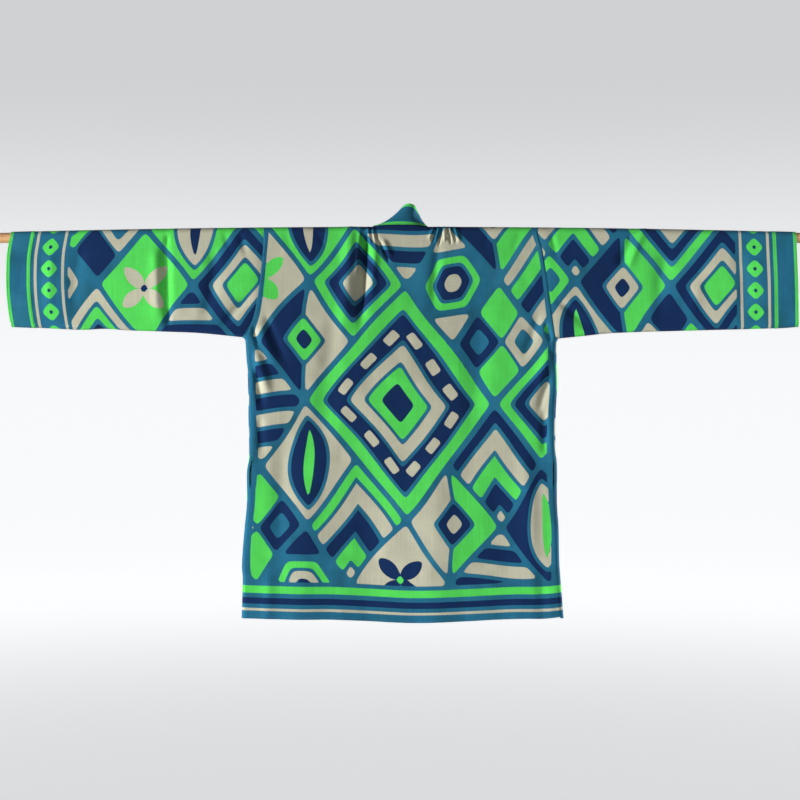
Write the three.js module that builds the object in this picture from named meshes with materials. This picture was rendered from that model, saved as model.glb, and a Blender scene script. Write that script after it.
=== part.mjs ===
// A short kimono-style jacket that hangs, arms out, on a plain wooden rod run through its sleeves.
// Millimetres. +Z is up, the back of the jacket faces -Y and +X is to the right when seen from behind.
// The origin lies on the rod's axis at mid length.
// Every panel is one wall of cloth: an outer sheet of points, the same sheet moved in by the
// cloth's thickness, and a rim that joins the two.

import * as THREE from "three";

// Driving dimensions
const CLOTH = 1.4; // wall of the body and the sleeves
const BAND_CLOTH = 1.9; // doubled wall of the neckband and the cuff bands
const SEAM_GAP = 0.3; // clear width of a seam between two pieces
const ARMHOLE_GAP = 0.5; // the same at an armhole, measured along X, because the seam slants
const ROD_LENGTH = 1520;
const ROD_RADIUS = 9;
const ROD_BOW = 11.4; // how far the ends lie below the middle
const ROD_SIDES = 14;
const ROD_STEPS = 18;
const OVER_ROD = ROD_RADIUS + SEAM_GAP + CLOTH; // outer radius of the cloth on the rod
const HALF_DEPTH = 8.6; // outer half depth of the hanging cloth, and the radius of its rounded edges
const DEPTH_SETTLES = 70; // the cloth comes in from the rod's width to its own over this drop
const SIDE_GAP = 0.7; // the same at a side seam, where the wall turns round the body's edge
const CUFF_BAND = 42; // width of a cuff band
const NECK_LEFT = -51.5; // where the neckband meets the fronts and the back, left and right
const NECK_RIGHT = 44.5;
const NECKBAND = 42.5; // width of the neckband
const UNDERARM_ROUND = 8; // fillet where a sleeve's lower edge turns down into the body's side
const UNDERARM_MITRE = Math.PI / 4; // direction of the armhole seam at that fillet
const SIDE_SEAM_IN = 6; // the side seams lie this far in from the outline, on the back
const SLIT = { top: -399, bottom: -450, width: 3.2 }; // opening left in each side seam
const SLIT_ON_BACK = 0.55; // share of the slit's width that the back panel gives

// Outline of the left and right halves, as measured along the garment. x is across, z is up.
const SIDES = {
  left: {
    sign: -1,
    cuffEdge: [
      { z: 12, x: -686.5 },
      { z: 0, x: -687.3 },
      { z: -39, x: -694 },
      { z: -70, x: -695.6 },
      { z: -105, x: -695 },
      { z: -139, x: -691.7 },
      { z: -168, x: -687 },
    ],
    sleeveHem: [
      { x: -700, z: -166 },
      { x: -632, z: -168.7 },
      { x: -563, z: -171.7 },
      { x: -522, z: -170 },
      { x: -482, z: -172.7 },
      { x: -415, z: -175 },
      { x: -355, z: -177.5 },
      { x: -284, z: -184.5 },
    ],
    armhole: [
      { z: 12, x: -242.5 },
      { z: -33, x: -244.8 },
      { z: -88, x: -250.2 },
      { z: -141, x: -259 },
    ],
    bodySide: [
      { z: -190, x: -275.8 },
      { z: -230, x: -273.4 },
      { z: -262, x: -271.3 },
      { z: -340, x: -270.2 },
      { z: -395, x: -269.4 },
      { z: -420, x: -272.8 },
      { z: -445, x: -273.2 },
      { z: -481, x: -273.4 },
      { z: -514, x: -276.7 },
      { z: -567, x: -281.1 },
      { z: -592, x: -282 },
      { z: -608, x: -280.6 },
      { z: -690, x: -282.8 },
    ],
  },
  right: {
    sign: 1,
    cuffEdge: [
      { z: 12, x: 692 },
      { z: -1, x: 692.3 },
      { z: -84, x: 696 },
      { z: -168, x: 697.4 },
    ],
    sleeveHem: [
      { x: 281, z: -186.5 },
      { x: 313, z: -183.4 },
      { x: 372, z: -177.5 },
      { x: 525, z: -172.7 },
      { x: 658, z: -169 },
      { x: 702, z: -166 },
    ],
    armhole: [
      { z: 12, x: 237.2 },
      { z: -10, x: 240 },
      { z: -25, x: 245 },
      { z: -74, x: 253.5 },
      { z: -130, x: 261.5 },
    ],
    bodySide: [
      { z: -190, x: 272.8 },
      { z: -223, x: 272.3 },
      { z: -272, x: 273.4 },
      { z: -313, x: 271 },
      { z: -374, x: 270.4 },
      { z: -410, x: 272.8 },
      { z: -478, x: 273 },
      { z: -518, x: 275.8 },
      { z: -580, x: 277.2 },
      { z: -620, x: 280 },
      { z: -690, x: 285.6 },
    ],
  },
};

const HEM = [
  { x: -290, z: -678.6 },
  { x: -179, z: -681.7 },
  { x: -121, z: -682.2 },
  { x: -4, z: -688.2 },
  { x: 32, z: -688.7 },
  { x: 107, z: -686.4 },
  { x: 198, z: -682.4 },
  { x: 251, z: -681.7 },
  { x: 292, z: -677 },
];

// The neckband's seam and free edge, from the left front over the back of the neck to the right front.
const NECK_ROWS = [
  { seamX: -51.5, seamY: 11.0, seamZ: -30, edgeX: -9.2, edgeY: 11.6, edgeZ: -34 },
  { seamX: -51.5, seamY: 11.6, seamZ: -3, edgeX: -10.5, edgeY: 13.4, edgeZ: -10 },
  { seamX: -51.5, seamY: 9.2, seamZ: 7.4, edgeX: -12.5, edgeY: 15.6, edgeZ: 3 },
  { seamX: -50.6, seamY: 2.6, seamZ: 11.9, edgeX: -13.6, edgeY: 16, edgeZ: 16 },
  { seamX: -43, seamY: -3, seamZ: 12.4, edgeX: -10.5, edgeY: 13.6, edgeZ: 28.5 },
  { seamX: -33, seamY: -5.4, seamZ: 13, edgeX: -4, edgeY: 9, edgeZ: 39.5 },
  { seamX: -20, seamY: -6.4, seamZ: 13.4, edgeX: 3.5, edgeY: 3, edgeZ: 48 },
  { seamX: -4, seamY: -6.6, seamZ: 13.6, edgeX: 13, edgeY: -0.5, edgeZ: 51.2 },
  { seamX: 12, seamY: -6.4, seamZ: 13.4, edgeX: 22, edgeY: 2, edgeZ: 47.5 },
  { seamX: 26, seamY: -5.4, seamZ: 12.9, edgeX: 25.5, edgeY: 13, edgeZ: 40.5 },
  { seamX: 36, seamY: -3, seamZ: 12.2, edgeX: 21, edgeY: 18, edgeZ: 31 },
  { seamX: 43.6, seamY: 2.6, seamZ: 11.9, edgeX: 13, edgeY: 18.4, edgeZ: 19 },
  { seamX: 44.5, seamY: 9.2, seamZ: 7.4, edgeX: 6.4, edgeY: 16.4, edgeZ: 6 },
  { seamX: 44.5, seamY: 11.6, seamZ: -3, edgeX: 3.6, edgeY: 13.6, edgeZ: -8 },
  { seamX: 44.5, seamY: 11.0, seamZ: -30, edgeX: 2.2, edgeY: 11.6, edgeZ: -34 },
];

// Folds: a soft ridge (rise above 0) or trough (below 0) along a straight run, fading at both ends.
const BACK_FOLDS = [
  { name: "neck trough", x0: -57, z0: -4, x1: -69, z1: -168, width: 11, rise: -5 },
  { name: "neck ridge", x0: -49, z0: -4, x1: -55, z1: -120, width: 9, rise: 1.6 },
  { name: "left underarm ridge", x0: -258, z0: -212, x1: -233, z1: -292, width: 11, rise: 2.6 },
  { name: "left underarm trough", x0: -258, z0: -250, x1: -244, z1: -318, width: 10, rise: -3 },
  { name: "right underarm ridge", x0: 259, z0: -212, x1: 237, z1: -280, width: 11, rise: 2.6 },
  { name: "right underarm trough", x0: 256, z0: -264, x1: 239, z1: -322, width: 10, rise: -3 },
  { name: "right waist trough", x0: 250, z0: -320, x1: 250, z1: -396, width: 10, rise: -1.8 },
  { name: "left hem ridge", x0: -170, z0: -430, x1: -182, z1: -690, width: 34, rise: 2.2 },
  { name: "middle hem trough", x0: -62, z0: -400, x1: -50, z1: -690, width: 36, rise: -2.2 },
  { name: "middle hem ridge", x0: 48, z0: -380, x1: 62, z1: -690, width: 36, rise: 2.4 },
  { name: "right hem trough", x0: 170, z0: -420, x1: 186, z1: -690, width: 32, rise: -2 },
  { name: "left sleeve trough", x0: -417, z0: -12, x1: -412, z1: -176, width: 11, rise: -2.8 },
  { name: "left sleeve ridge", x0: -436, z0: -30, x1: -432, z1: -160, width: 12, rise: 1.4 },
  { name: "right sleeve trough", x0: 407, z0: -6, x1: 378, z1: -64, width: 11, rise: -3.2 },
];
const FRONT_FOLDS = [
  { name: "left shoulder trough", x0: -96, z0: -10, x1: -118, z1: -230, width: 14, rise: -3.4 },
  { name: "right shoulder trough", x0: 92, z0: -10, x1: 108, z1: -210, width: 14, rise: -3.2 },
  { name: "left underarm ridge", x0: -256, z0: -214, x1: -226, z1: -300, width: 12, rise: 2.4 },
  { name: "left underarm trough", x0: -256, z0: -252, x1: -238, z1: -330, width: 11, rise: -2.6 },
  { name: "right underarm ridge", x0: 257, z0: -214, x1: 230, z1: -296, width: 12, rise: 2.4 },
  { name: "right underarm trough", x0: 256, z0: -256, x1: 236, z1: -326, width: 11, rise: -2.6 },
  { name: "left hem ridge", x0: -156, z0: -400, x1: -168, z1: -690, width: 34, rise: 2.2 },
  { name: "right hem ridge", x0: 150, z0: -420, x1: 166, z1: -690, width: 34, rise: 2 },
  { name: "left sleeve trough", x0: -404, z0: -12, x1: -398, z1: -178, width: 12, rise: -2.6 },
  { name: "right sleeve trough", x0: 418, z0: -8, x1: 396, z1: -110, width: 12, rise: -2.8 },
];
const FOLD_LETS_GO = 46; // below the rod the folds grow to full depth over this drop
const FOLD_STARTS_AT = 0.35; // how far grown a fold is at its upper end
const FOLD_GROWS_OVER = 0.25; // share of its length over which it grows
const FOLD_FADES_OVER = 0.42; // share of its length over which it fades out
const RUNS_OUT_BELOW = -650; // a fold that ends below this height runs out at the hem

// Where the rows and columns of the body panels lie: each run ends at `to` and has `count` cells.
const BACK_COLUMNS = [
  { to: -96, count: 4 },
  { to: NECK_LEFT + SEAM_GAP, count: 5 },
  { to: NECK_RIGHT - SEAM_GAP, count: 6 },
  { to: 96, count: 4 },
  { to: 214, count: 4 },
];
const BACK_COLUMNS_START = -214;
const EDGE_COLUMNS = [0, 0.06, 0.5]; // between a side of the back panel and the outermost straight column
const ROD_CELLS = 4; // cells from the shoulder ridge down to the rod's side
const ARMHOLE_CELLS = 7; // cells down an armhole, on the body and on the sleeve alike
const FAN_CELLS = 2; // cells round the underarm fillet
const BODY_ROWS = [
  { to: -392, count: 8 },
  { to: -457, count: 6 },
  { to: -680, count: 8 },
];
const FRONT_CELLS = 7; // cells across the flat of one front
const WRAP_CELLS = 6; // cells round the body's side edge
const SLEEVE_EDGE_CELLS = 6; // cells round a sleeve's lower edge
const SLEEVE_ROD_CELLS = 8; // cells over the rod
const SLEEVE_CELLS = 16; // cells along a sleeve
const BAND_CELLS = 3; // cells across the neckband
const NECK_STEPS = 2; // cells between two rows of the neck table
const BAND_FRONT_CELLS = 20; // cells down one front of the neckband
const NECK_SETTLES = 3; // cells over which the band comes to its straight run down the front

const COLOURS = { cloth: 0x27708f, band: 0x24687f, rod: 0xc89664 };

const clothMaterial = () =>
  new THREE.MeshStandardMaterial({ color: COLOURS.cloth, roughness: 0.9, metalness: 0 });
const bandMaterial = () =>
  new THREE.MeshStandardMaterial({ color: COLOURS.band, roughness: 0.88, metalness: 0 });
const woodMaterial = () =>
  new THREE.MeshStandardMaterial({ color: COLOURS.rod, roughness: 0.6, metalness: 0 });

const lerp = (a, b, t) => a + (b - a) * t;
const clamp = (value, low, high) => Math.min(high, Math.max(low, value));
const smooth = (t) => {
  const s = clamp(t, 0, 1);
  return s * s * (3 - 2 * s);
};

// A curve through a table's rows: for a value of the column `key`, the value of the column `out`.
function through(rows, key, out) {
  const sorted = [...rows].sort((a, b) => a[key] - b[key]);
  const slope = (i) => {
    const before = sorted[Math.max(i - 1, 0)];
    const after = sorted[Math.min(i + 1, sorted.length - 1)];
    return (after[out] - before[out]) / (after[key] - before[key]);
  };
  return (value) => {
    const at = clamp(value, sorted[0][key], sorted[sorted.length - 1][key]);
    let i = 0;
    while (i < sorted.length - 2 && at > sorted[i + 1][key]) i += 1;
    const span = sorted[i + 1][key] - sorted[i][key];
    const t = (at - sorted[i][key]) / span;
    const t2 = t * t;
    const t3 = t2 * t;
    return (
      (2 * t3 - 3 * t2 + 1) * sorted[i][out] +
      (t3 - 2 * t2 + t) * span * slope(i) +
      (3 * t2 - 2 * t3) * sorted[i + 1][out] +
      (t3 - t2) * span * slope(i + 1)
    );
  };
}

// The rod's axis droops evenly towards both ends.
const rodZ = (x) => -ROD_BOW * (x / (ROD_LENGTH / 2)) ** 2;
const hemZ = through(HEM, "x", "z");

// The outline of one half, with the underarm fillet's centre and the mitre that the armhole seam meets.
function halfOutline(side) {
  const { sign } = side;
  const sleeveHem = through(side.sleeveHem, "x", "z");
  const bodySide = through(side.bodySide, "z", "x");
  const centreX = bodySide(side.bodySide[0].z) + sign * UNDERARM_ROUND;
  const centreZ = sleeveHem(centreX) - UNDERARM_ROUND;
  const mitreX = (out) => centreX - sign * (UNDERARM_ROUND + out) * Math.cos(UNDERARM_MITRE);
  const mitreZ = (out) => centreZ + (UNDERARM_ROUND + out) * Math.sin(UNDERARM_MITRE);
  const onMitre = [{ x: mitreX(HALF_DEPTH), z: mitreZ(HALF_DEPTH) }];
  const aboveMitre = through([...side.armhole, ...onMitre], "z", "x");
  const armhole = (z) => {
    if (z >= onMitre[0].z) return aboveMitre(z);
    return onMitre[0].x + (sign * (onMitre[0].z - z)) / Math.tan(UNDERARM_MITRE);
  };
  return {
    sign,
    sleeveHem,
    bodySide,
    armhole,
    cuffEdge: through(side.cuffEdge, "z", "x"),
    centreX,
    centreZ,
    mitreZ,
  };
}
const OUTLINE = { left: halfOutline(SIDES.left), right: halfOutline(SIDES.right) };

// How far a point lies inside the lower outline: the sleeves' hems, the fillets and the body's sides.
function insideEdge(x, z) {
  const half = x < 0 ? OUTLINE.left : OUTLINE.right;
  const outward = half.sign * (x - half.centreX);
  if (outward >= 0) return z - half.sleeveHem(x);
  if (z < half.centreZ) return half.sign * (half.bodySide(z) - x);
  return Math.hypot(x - half.centreX, z - half.centreZ) - UNDERARM_ROUND;
}

// The outward rise of the folds at a point of one face.
function foldRise(folds, x, z) {
  let rise = 0;
  for (const fold of folds) {
    const runX = fold.x1 - fold.x0;
    const runZ = fold.z1 - fold.z0;
    const length2 = runX * runX + runZ * runZ;
    const along = ((x - fold.x0) * runX + (z - fold.z0) * runZ) / length2;
    const nearest = clamp(along, 0, 1);
    const away = Math.hypot(x - fold.x0 - runX * nearest, z - fold.z0 - runZ * nearest);
    const start = smooth(FOLD_STARTS_AT + nearest / FOLD_GROWS_OVER);
    const end = fold.z1 < RUNS_OUT_BELOW ? 1 : smooth((1 - nearest) / FOLD_FADES_OVER);
    rise += fold.rise * Math.exp(-((away / fold.width) ** 2)) * start * end;
  }
  return rise * smooth((rodZ(x) - z) / FOLD_LETS_GO);
}

// Outer half depth of the cloth at a point, without the rounding of the lower edges.
function halfDepth(x, z) {
  const drop = rodZ(x) - z;
  if (drop < 0) return Math.sqrt(Math.max(OVER_ROD ** 2 - drop ** 2, 0));
  return lerp(OVER_ROD, HALF_DEPTH, smooth(drop / DEPTH_SETTLES));
}

// Rounds a depth off towards the edge; inside it counts from 0 at the outline.
const rounded = (inside, depth) =>
  inside >= depth ? depth : Math.sqrt(Math.max(depth ** 2 - (depth - inside) ** 2, 0));

// A point on the outer surface: face is -1 on the back and 1 on the front.
function onFace(face, x, z) {
  const inside = insideEdge(x, z);
  const depth = rounded(inside, halfDepth(x, z));
  const folds = face < 0 ? BACK_FOLDS : FRONT_FOLDS;
  const rise = foldRise(folds, x, z) * smooth((inside - HALF_DEPTH) / (2 * HALF_DEPTH));
  return new THREE.Vector3(x, face * (depth + rise), z);
}

// The back of the neck, where the back panel leaves the rod and rises to the neckband's seam.
const backNeckRows = NECK_ROWS.filter((row) => row.seamZ > OVER_ROD);
const neckY = through(backNeckRows, "seamX", "seamY");
const neckZ = through(backNeckRows, "seamX", "seamZ");
const NECK_CLEAR = { y: 0.42, z: 0.36 }; // the back panel's edge stays this far off the band's seam
function backTop(x) {
  const inNeck = x > backNeckRows[0].seamX && x < backNeckRows[backNeckRows.length - 1].seamX;
  if (!inNeck) return { y: SEAM_GAP / 2, z: OVER_ROD };
  const y = Math.max(-neckY(x), 0) + NECK_CLEAR.y;
  return { y, z: Math.max(neckZ(x) - NECK_CLEAR.z, OVER_ROD) };
}

// Builds one wall from a grid of outer points. A null point leaves the cells round it out.
function wall(name, grid, thickness, material, loops = false) {
  const rows = grid.length;
  const columns = grid[0].length;
  const cells = [];
  const cellAt = new Set();
  const wrap = (c) => (loops ? c % columns : c);
  for (let r = 0; r < rows - 1; r += 1)
    for (let c = 0; c < columns - (loops ? 0 : 1); c += 1) {
      const corner = [
        [r, c],
        [r + 1, c],
        [r + 1, wrap(c + 1)],
        [r, wrap(c + 1)],
      ];
      if (!corner.every(([i, j]) => grid[i][j])) continue;
      cells.push(corner);
      cellAt.add(`${r},${c}`);
    }
  const point = ([i, j]) => grid[i][j];
  const keyOf = ([i, j]) => i * columns + j;
  const normals = new Map();
  for (const corner of cells) {
    const [a, b, c, d] = corner.map(point);
    const normal = new THREE.Vector3()
      .subVectors(c, a)
      .cross(new THREE.Vector3().subVectors(d, b))
      .normalize();
    for (const at of corner) {
      const sum = normals.get(keyOf(at)) ?? new THREE.Vector3();
      normals.set(keyOf(at), sum.add(normal));
    }
  }
  for (const sum of normals.values()) sum.normalize();
  const has = (r, c) => cellAt.has(`${r},${loops ? (c + columns) % columns : c}`);
  const positions = [];
  const index = new Map();
  for (const [key, middle] of normals) {
    const r = Math.floor(key / columns);
    const c = key % columns;
    const normal = middle.clone();
    const above = has(r - 1, c) || has(r - 1, c - 1);
    const below = has(r, c) || has(r, c - 1);
    const before = has(r - 1, c - 1) || has(r, c - 1);
    const after = has(r - 1, c) || has(r, c);
    const carryOn = (next) => normal.add(middle).sub(normals.get(keyOf(next)));
    if (above !== below) carryOn([above ? r - 1 : r + 1, c]);
    if (before !== after) carryOn([r, before ? c - 1 : c + 1]);
    const outer = grid[r][c];
    const inner = outer.clone().addScaledVector(normal.normalize(), -thickness);
    index.set(key, positions.length / 3);
    positions.push(...outer.toArray(), ...inner.toArray());
  }
  const faces = [];
  const edges = new Map();
  for (const corner of cells) {
    const outer = corner.map((at) => index.get(keyOf(at)));
    const [a, b, c, d] = outer;
    const straight = point(corner[0]).distanceTo(point(corner[2]));
    const crossed = point(corner[1]).distanceTo(point(corner[3]));
    if (straight <= crossed) faces.push(a, b, c, a, c, d);
    else faces.push(a, b, d, b, c, d);
    if (straight <= crossed) faces.push(a + 1, c + 1, b + 1, a + 1, d + 1, c + 1);
    else faces.push(a + 1, d + 1, b + 1, b + 1, d + 1, c + 1);
    outer.forEach((from, i) => {
      const to = outer[(i + 1) % 4];
      if (!edges.delete(`${to},${from}`)) edges.set(`${from},${to}`, [from, to]);
    });
  }
  for (const [from, to] of edges.values())
    faces.push(from, from + 1, to + 1, from, to + 1, to);
  const geometry = new THREE.BufferGeometry();
  geometry.setAttribute("position", new THREE.Float32BufferAttribute(positions, 3));
  geometry.setIndex(faces);
  geometry.computeVertexNormals();
  const mesh = new THREE.Mesh(geometry, material);
  mesh.name = name;
  return mesh;
}

// Evenly spaced values for a run table, from `start` to the last `to`.
function spaced(start, runs) {
  const values = [start];
  for (const run of runs) {
    const from = values[values.length - 1];
    for (let i = 1; i <= run.count; i += 1) values.push(lerp(from, run.to, i / run.count));
  }
  return values;
}

// How far a side seam opens at a height: nothing but the seam's gap, apart from the slit.
function slitOpening(z) {
  const middle = (SLIT.top + SLIT.bottom) / 2;
  const half = (SLIT.top - SLIT.bottom) / 2;
  const reach = clamp((z - middle) / half, -1, 1);
  return SLIT.width * Math.sqrt(1 - reach ** 2);
}

// Heights of the body rows below the underarm.
const bodyRows = (half) => spaced(half.centreZ, BODY_ROWS);

// The share of the drop from the rod to the hem that a height at a panel's side stands for.
const dropShare = (z, x) => (rodZ(x) - z) / (rodZ(x) - hemZ(x));
const atShare = (share, x) => lerp(rodZ(x), hemZ(x), share);

// The side of the back panel, or the outermost flat column of a front, row by row from the rod down:
// first down the armhole, then round the underarm fillet and down the body's side, `inset` inside it.
function sideRows(half, inset) {
  const rows = [];
  for (let i = 0; i <= ARMHOLE_CELLS; i += 1) {
    const z = lerp(0, half.mitreZ(HALF_DEPTH), i / ARMHOLE_CELLS);
    const x = half.armhole(z);
    rows.push({ x: x - half.sign * (ARMHOLE_GAP / 2), z: z + rodZ(x) * (1 - i / ARMHOLE_CELLS) });
  }
  const firstFan = inset < HALF_DEPTH ? 0 : 1;
  for (let i = firstFan; i <= FAN_CELLS; i += 1) {
    const angle = UNDERARM_MITRE * (1 - i / FAN_CELLS);
    const reach = UNDERARM_ROUND + inset;
    rows.push({
      x: half.centreX - half.sign * reach * Math.cos(angle),
      z: half.centreZ + reach * Math.sin(angle),
    });
  }
  for (const z of bodyRows(half).slice(1, -1))
    rows.push({ x: half.bodySide(z) - half.sign * inset, z });
  const endX = half.bodySide(hemZ(half.centreX)) - half.sign * inset;
  rows.push({ x: endX, z: hemZ(endX) });
  return rows;
}

function backPanel() {
  const seamInset = (half, z) => {
    const opened = slitOpening(z) * SLIT_ON_BACK;
    return half.sign * opened;
  };
  const left = sideRows(OUTLINE.left, SIDE_SEAM_IN + SIDE_GAP / 2);
  const right = sideRows(OUTLINE.right, SIDE_SEAM_IN + SIDE_GAP / 2);
  const straight = spaced(BACK_COLUMNS_START, BACK_COLUMNS);
  const first = straight[0];
  const last = straight[straight.length - 1];
  const columnsOf = (leftX, rightX) => {
    const onLeft = EDGE_COLUMNS.map((share) => lerp(leftX, first, share));
    const onRight = EDGE_COLUMNS.map((share) => lerp(rightX, last, share)).reverse();
    return [...onLeft, ...straight, ...onRight];
  };
  const grid = [];
  for (let i = 0; i < ROD_CELLS; i += 1) {
    const angle = (Math.PI / 2) * (i / ROD_CELLS);
    grid.push(
      columnsOf(left[0].x, right[0].x).map((x) => {
        const top = backTop(x);
        const y = top.y + (OVER_ROD - top.y) * Math.sin(angle);
        return new THREE.Vector3(x, -y, rodZ(x) + top.z * Math.cos(angle));
      }),
    );
  }
  left.forEach((from, r) => {
    const to = right[r];
    const leftX = from.x - seamInset(OUTLINE.left, from.z);
    const rightX = to.x - seamInset(OUTLINE.right, to.z);
    const leftShare = dropShare(from.z, from.x);
    const rightShare = dropShare(to.z, to.x);
    grid.push(
      columnsOf(leftX, rightX).map((x) => {
        const share = lerp(leftShare, rightShare, (x - leftX) / (rightX - leftX));
        return onFace(-1, x, atShare(share, x));
      }),
    );
  });
  return wall("back", grid, CLOTH, clothMaterial());
}

// One front: from the neckband's seam across the front, round the side edge and back to the side seam.
function frontPanel(name, half, seamX) {
  const { sign } = half;
  const innerX = seamX + sign * SEAM_GAP;
  const flat = sideRows(half, HALF_DEPTH);
  const seamAngle = Math.acos(1 - (SIDE_SEAM_IN - SIDE_GAP / 2) / HALF_DEPTH);
  const grid = [];
  const flatRow = (side, pointAt) => {
    const row = [];
    for (let c = 0; c <= FRONT_CELLS; c += 1) row.push(pointAt(lerp(innerX, side.x, c / FRONT_CELLS)));
    return row;
  };
  for (let i = 0; i < ROD_CELLS; i += 1) {
    const start = SEAM_GAP / 2 / OVER_ROD;
    const angle = lerp(start, Math.PI / 2, i / ROD_CELLS);
    const overRod = (x) =>
      new THREE.Vector3(x, OVER_ROD * Math.sin(angle), rodZ(x) + OVER_ROD * Math.cos(angle));
    grid.push([...flatRow(flat[0], overRod), ...Array(WRAP_CELLS).fill(null)]);
  }
  flat.forEach((side, r) => {
    const share = dropShare(side.z, side.x);
    const row = flatRow(side, (x) => onFace(1, x, atShare(share, x)));
    const wraps = [];
    for (let k = 1; k <= WRAP_CELLS; k += 1) {
      if (r < ARMHOLE_CELLS) {
        wraps.push(null);
        continue;
      }
      const angle = lerp(Math.PI / 2, -seamAngle, k / WRAP_CELLS);
      const inside = HALF_DEPTH * (1 - Math.cos(angle));
      const y = HALF_DEPTH * Math.sin(angle);
      const fan = r - ARMHOLE_CELLS;
      if (fan <= FAN_CELLS) {
        const turn = UNDERARM_MITRE * (1 - fan / FAN_CELLS);
        const seamShift = fan === 0 ? ARMHOLE_GAP / 4 : 0;
        const reach = UNDERARM_ROUND + inside;
        wraps.push(
          new THREE.Vector3(
            half.centreX - sign * (reach * Math.cos(turn) + seamShift),
            y,
            half.centreZ + reach * Math.sin(turn) - seamShift,
          ),
        );
        continue;
      }
      const towardsSeam = Math.max(-angle / seamAngle, 0);
      const opened = slitOpening(side.z) * (1 - SLIT_ON_BACK) * towardsSeam;
      const x = half.bodySide(side.z) - sign * (inside - opened);
      wraps.push(new THREE.Vector3(x, y, side.z));
    }
    grid.push([...row, ...wraps]);
  });
  const facing = sign < 0 ? grid.map((row) => [...row].reverse()) : grid;
  return wall(name, facing.reverse(), CLOTH, clothMaterial());
}

// Points round a sleeve at one station, from the back of the rod down, round the lower edge,
// up the front and over the rod. Each has a face, a kind and how far it lies inside the edge.
function sleeveLoop() {
  const loop = [];
  for (let i = 0; i < ARMHOLE_CELLS; i += 1)
    loop.push({ face: -1, kind: "face", down: i / ARMHOLE_CELLS });
  for (let i = 0; i <= SLEEVE_EDGE_CELLS; i += 1)
    loop.push({ kind: "edge", angle: lerp(-Math.PI / 2, Math.PI / 2, i / SLEEVE_EDGE_CELLS) });
  for (let i = ARMHOLE_CELLS - 1; i >= 0; i -= 1)
    loop.push({ face: 1, kind: "face", down: i / ARMHOLE_CELLS });
  for (let i = 1; i < SLEEVE_ROD_CELLS; i += 1)
    loop.push({ kind: "rod", angle: lerp(Math.PI / 2, -Math.PI / 2, i / SLEEVE_ROD_CELLS) });
  return loop;
}

// A point of the sleeve's loop where the sleeve runs straight: along gives x from a height.
function sleevePoint(at, half, along, extra) {
  if (at.kind === "rod") {
    const x = along(0);
    const reach = OVER_ROD + extra;
    return new THREE.Vector3(x, reach * Math.sin(at.angle), rodZ(x) + reach * Math.cos(at.angle));
  }
  const depth = HALF_DEPTH + extra;
  if (at.kind === "edge") {
    const inside = HALF_DEPTH - depth * Math.cos(at.angle);
    const x = along(half.sleeveHem(half.centreX) + inside);
    return new THREE.Vector3(x, depth * Math.sin(at.angle), half.sleeveHem(x) + inside);
  }
  const middle = along(half.sleeveHem(half.centreX) / 2);
  const z = lerp(rodZ(middle), half.sleeveHem(middle) + HALF_DEPTH, at.down);
  const point = onFace(at.face, along(z), z);
  point.y += at.face * extra;
  return point;
}

// Turns a list of stations from the cuff inwards into a wall with its faces out.
function sleeveWall(name, half, stations, thickness, material) {
  const ordered = half.sign > 0 ? stations : [...stations].reverse();
  return wall(name, ordered, thickness, material, true);
}

function cuffBand(name, half) {
  const extra = BAND_CLOTH - CLOTH;
  const stations = [0, 0.5, 1].map((share) => {
    const along = (z) => half.cuffEdge(z) - half.sign * CUFF_BAND * share;
    return sleeveLoop().map((at) => sleevePoint(at, half, along, extra));
  });
  return sleeveWall(name, half, stations, BAND_CLOTH, bandMaterial());
}

function sleeve(name, half) {
  const stations = [];
  for (let i = 0; i <= SLEEVE_CELLS; i += 1) {
    const along = (z) =>
      lerp(half.cuffEdge(z) - half.sign * (CUFF_BAND + SEAM_GAP * 1.5), half.centreX, i / SLEEVE_CELLS);
    stations.push(sleeveLoop().map((at) => sleevePoint(at, half, along, 0)));
  }
  for (let i = 1; i <= FAN_CELLS; i += 1) {
    const turn = lerp(Math.PI / 2, UNDERARM_MITRE, i / FAN_CELLS);
    const share = Math.cos(turn) / Math.cos(UNDERARM_MITRE);
    const seamShift = i === FAN_CELLS ? ARMHOLE_GAP / 2 : 0;
    const along = (z) => lerp(half.centreX, half.armhole(z), share) + half.sign * seamShift;
    stations.push(
      sleeveLoop().map((at) => {
        if (at.kind === "rod") return sleevePoint(at, half, along, 0);
        if (at.kind === "edge") {
          const reach = UNDERARM_ROUND + HALF_DEPTH * (1 - Math.cos(at.angle));
          return new THREE.Vector3(
            half.centreX - half.sign * (reach * Math.cos(turn) - seamShift / 2),
            HALF_DEPTH * Math.sin(at.angle),
            half.centreZ + reach * Math.sin(turn) + seamShift / 2,
          );
        }
        const low = half.centreZ + (UNDERARM_ROUND + HALF_DEPTH) * Math.sin(turn);
        const z = lerp(rodZ(half.centreX), low, at.down);
        return onFace(at.face, along(z), z);
      }),
    );
  }
  return sleeveWall(name, half, stations, CLOTH, clothMaterial());
}

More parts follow.
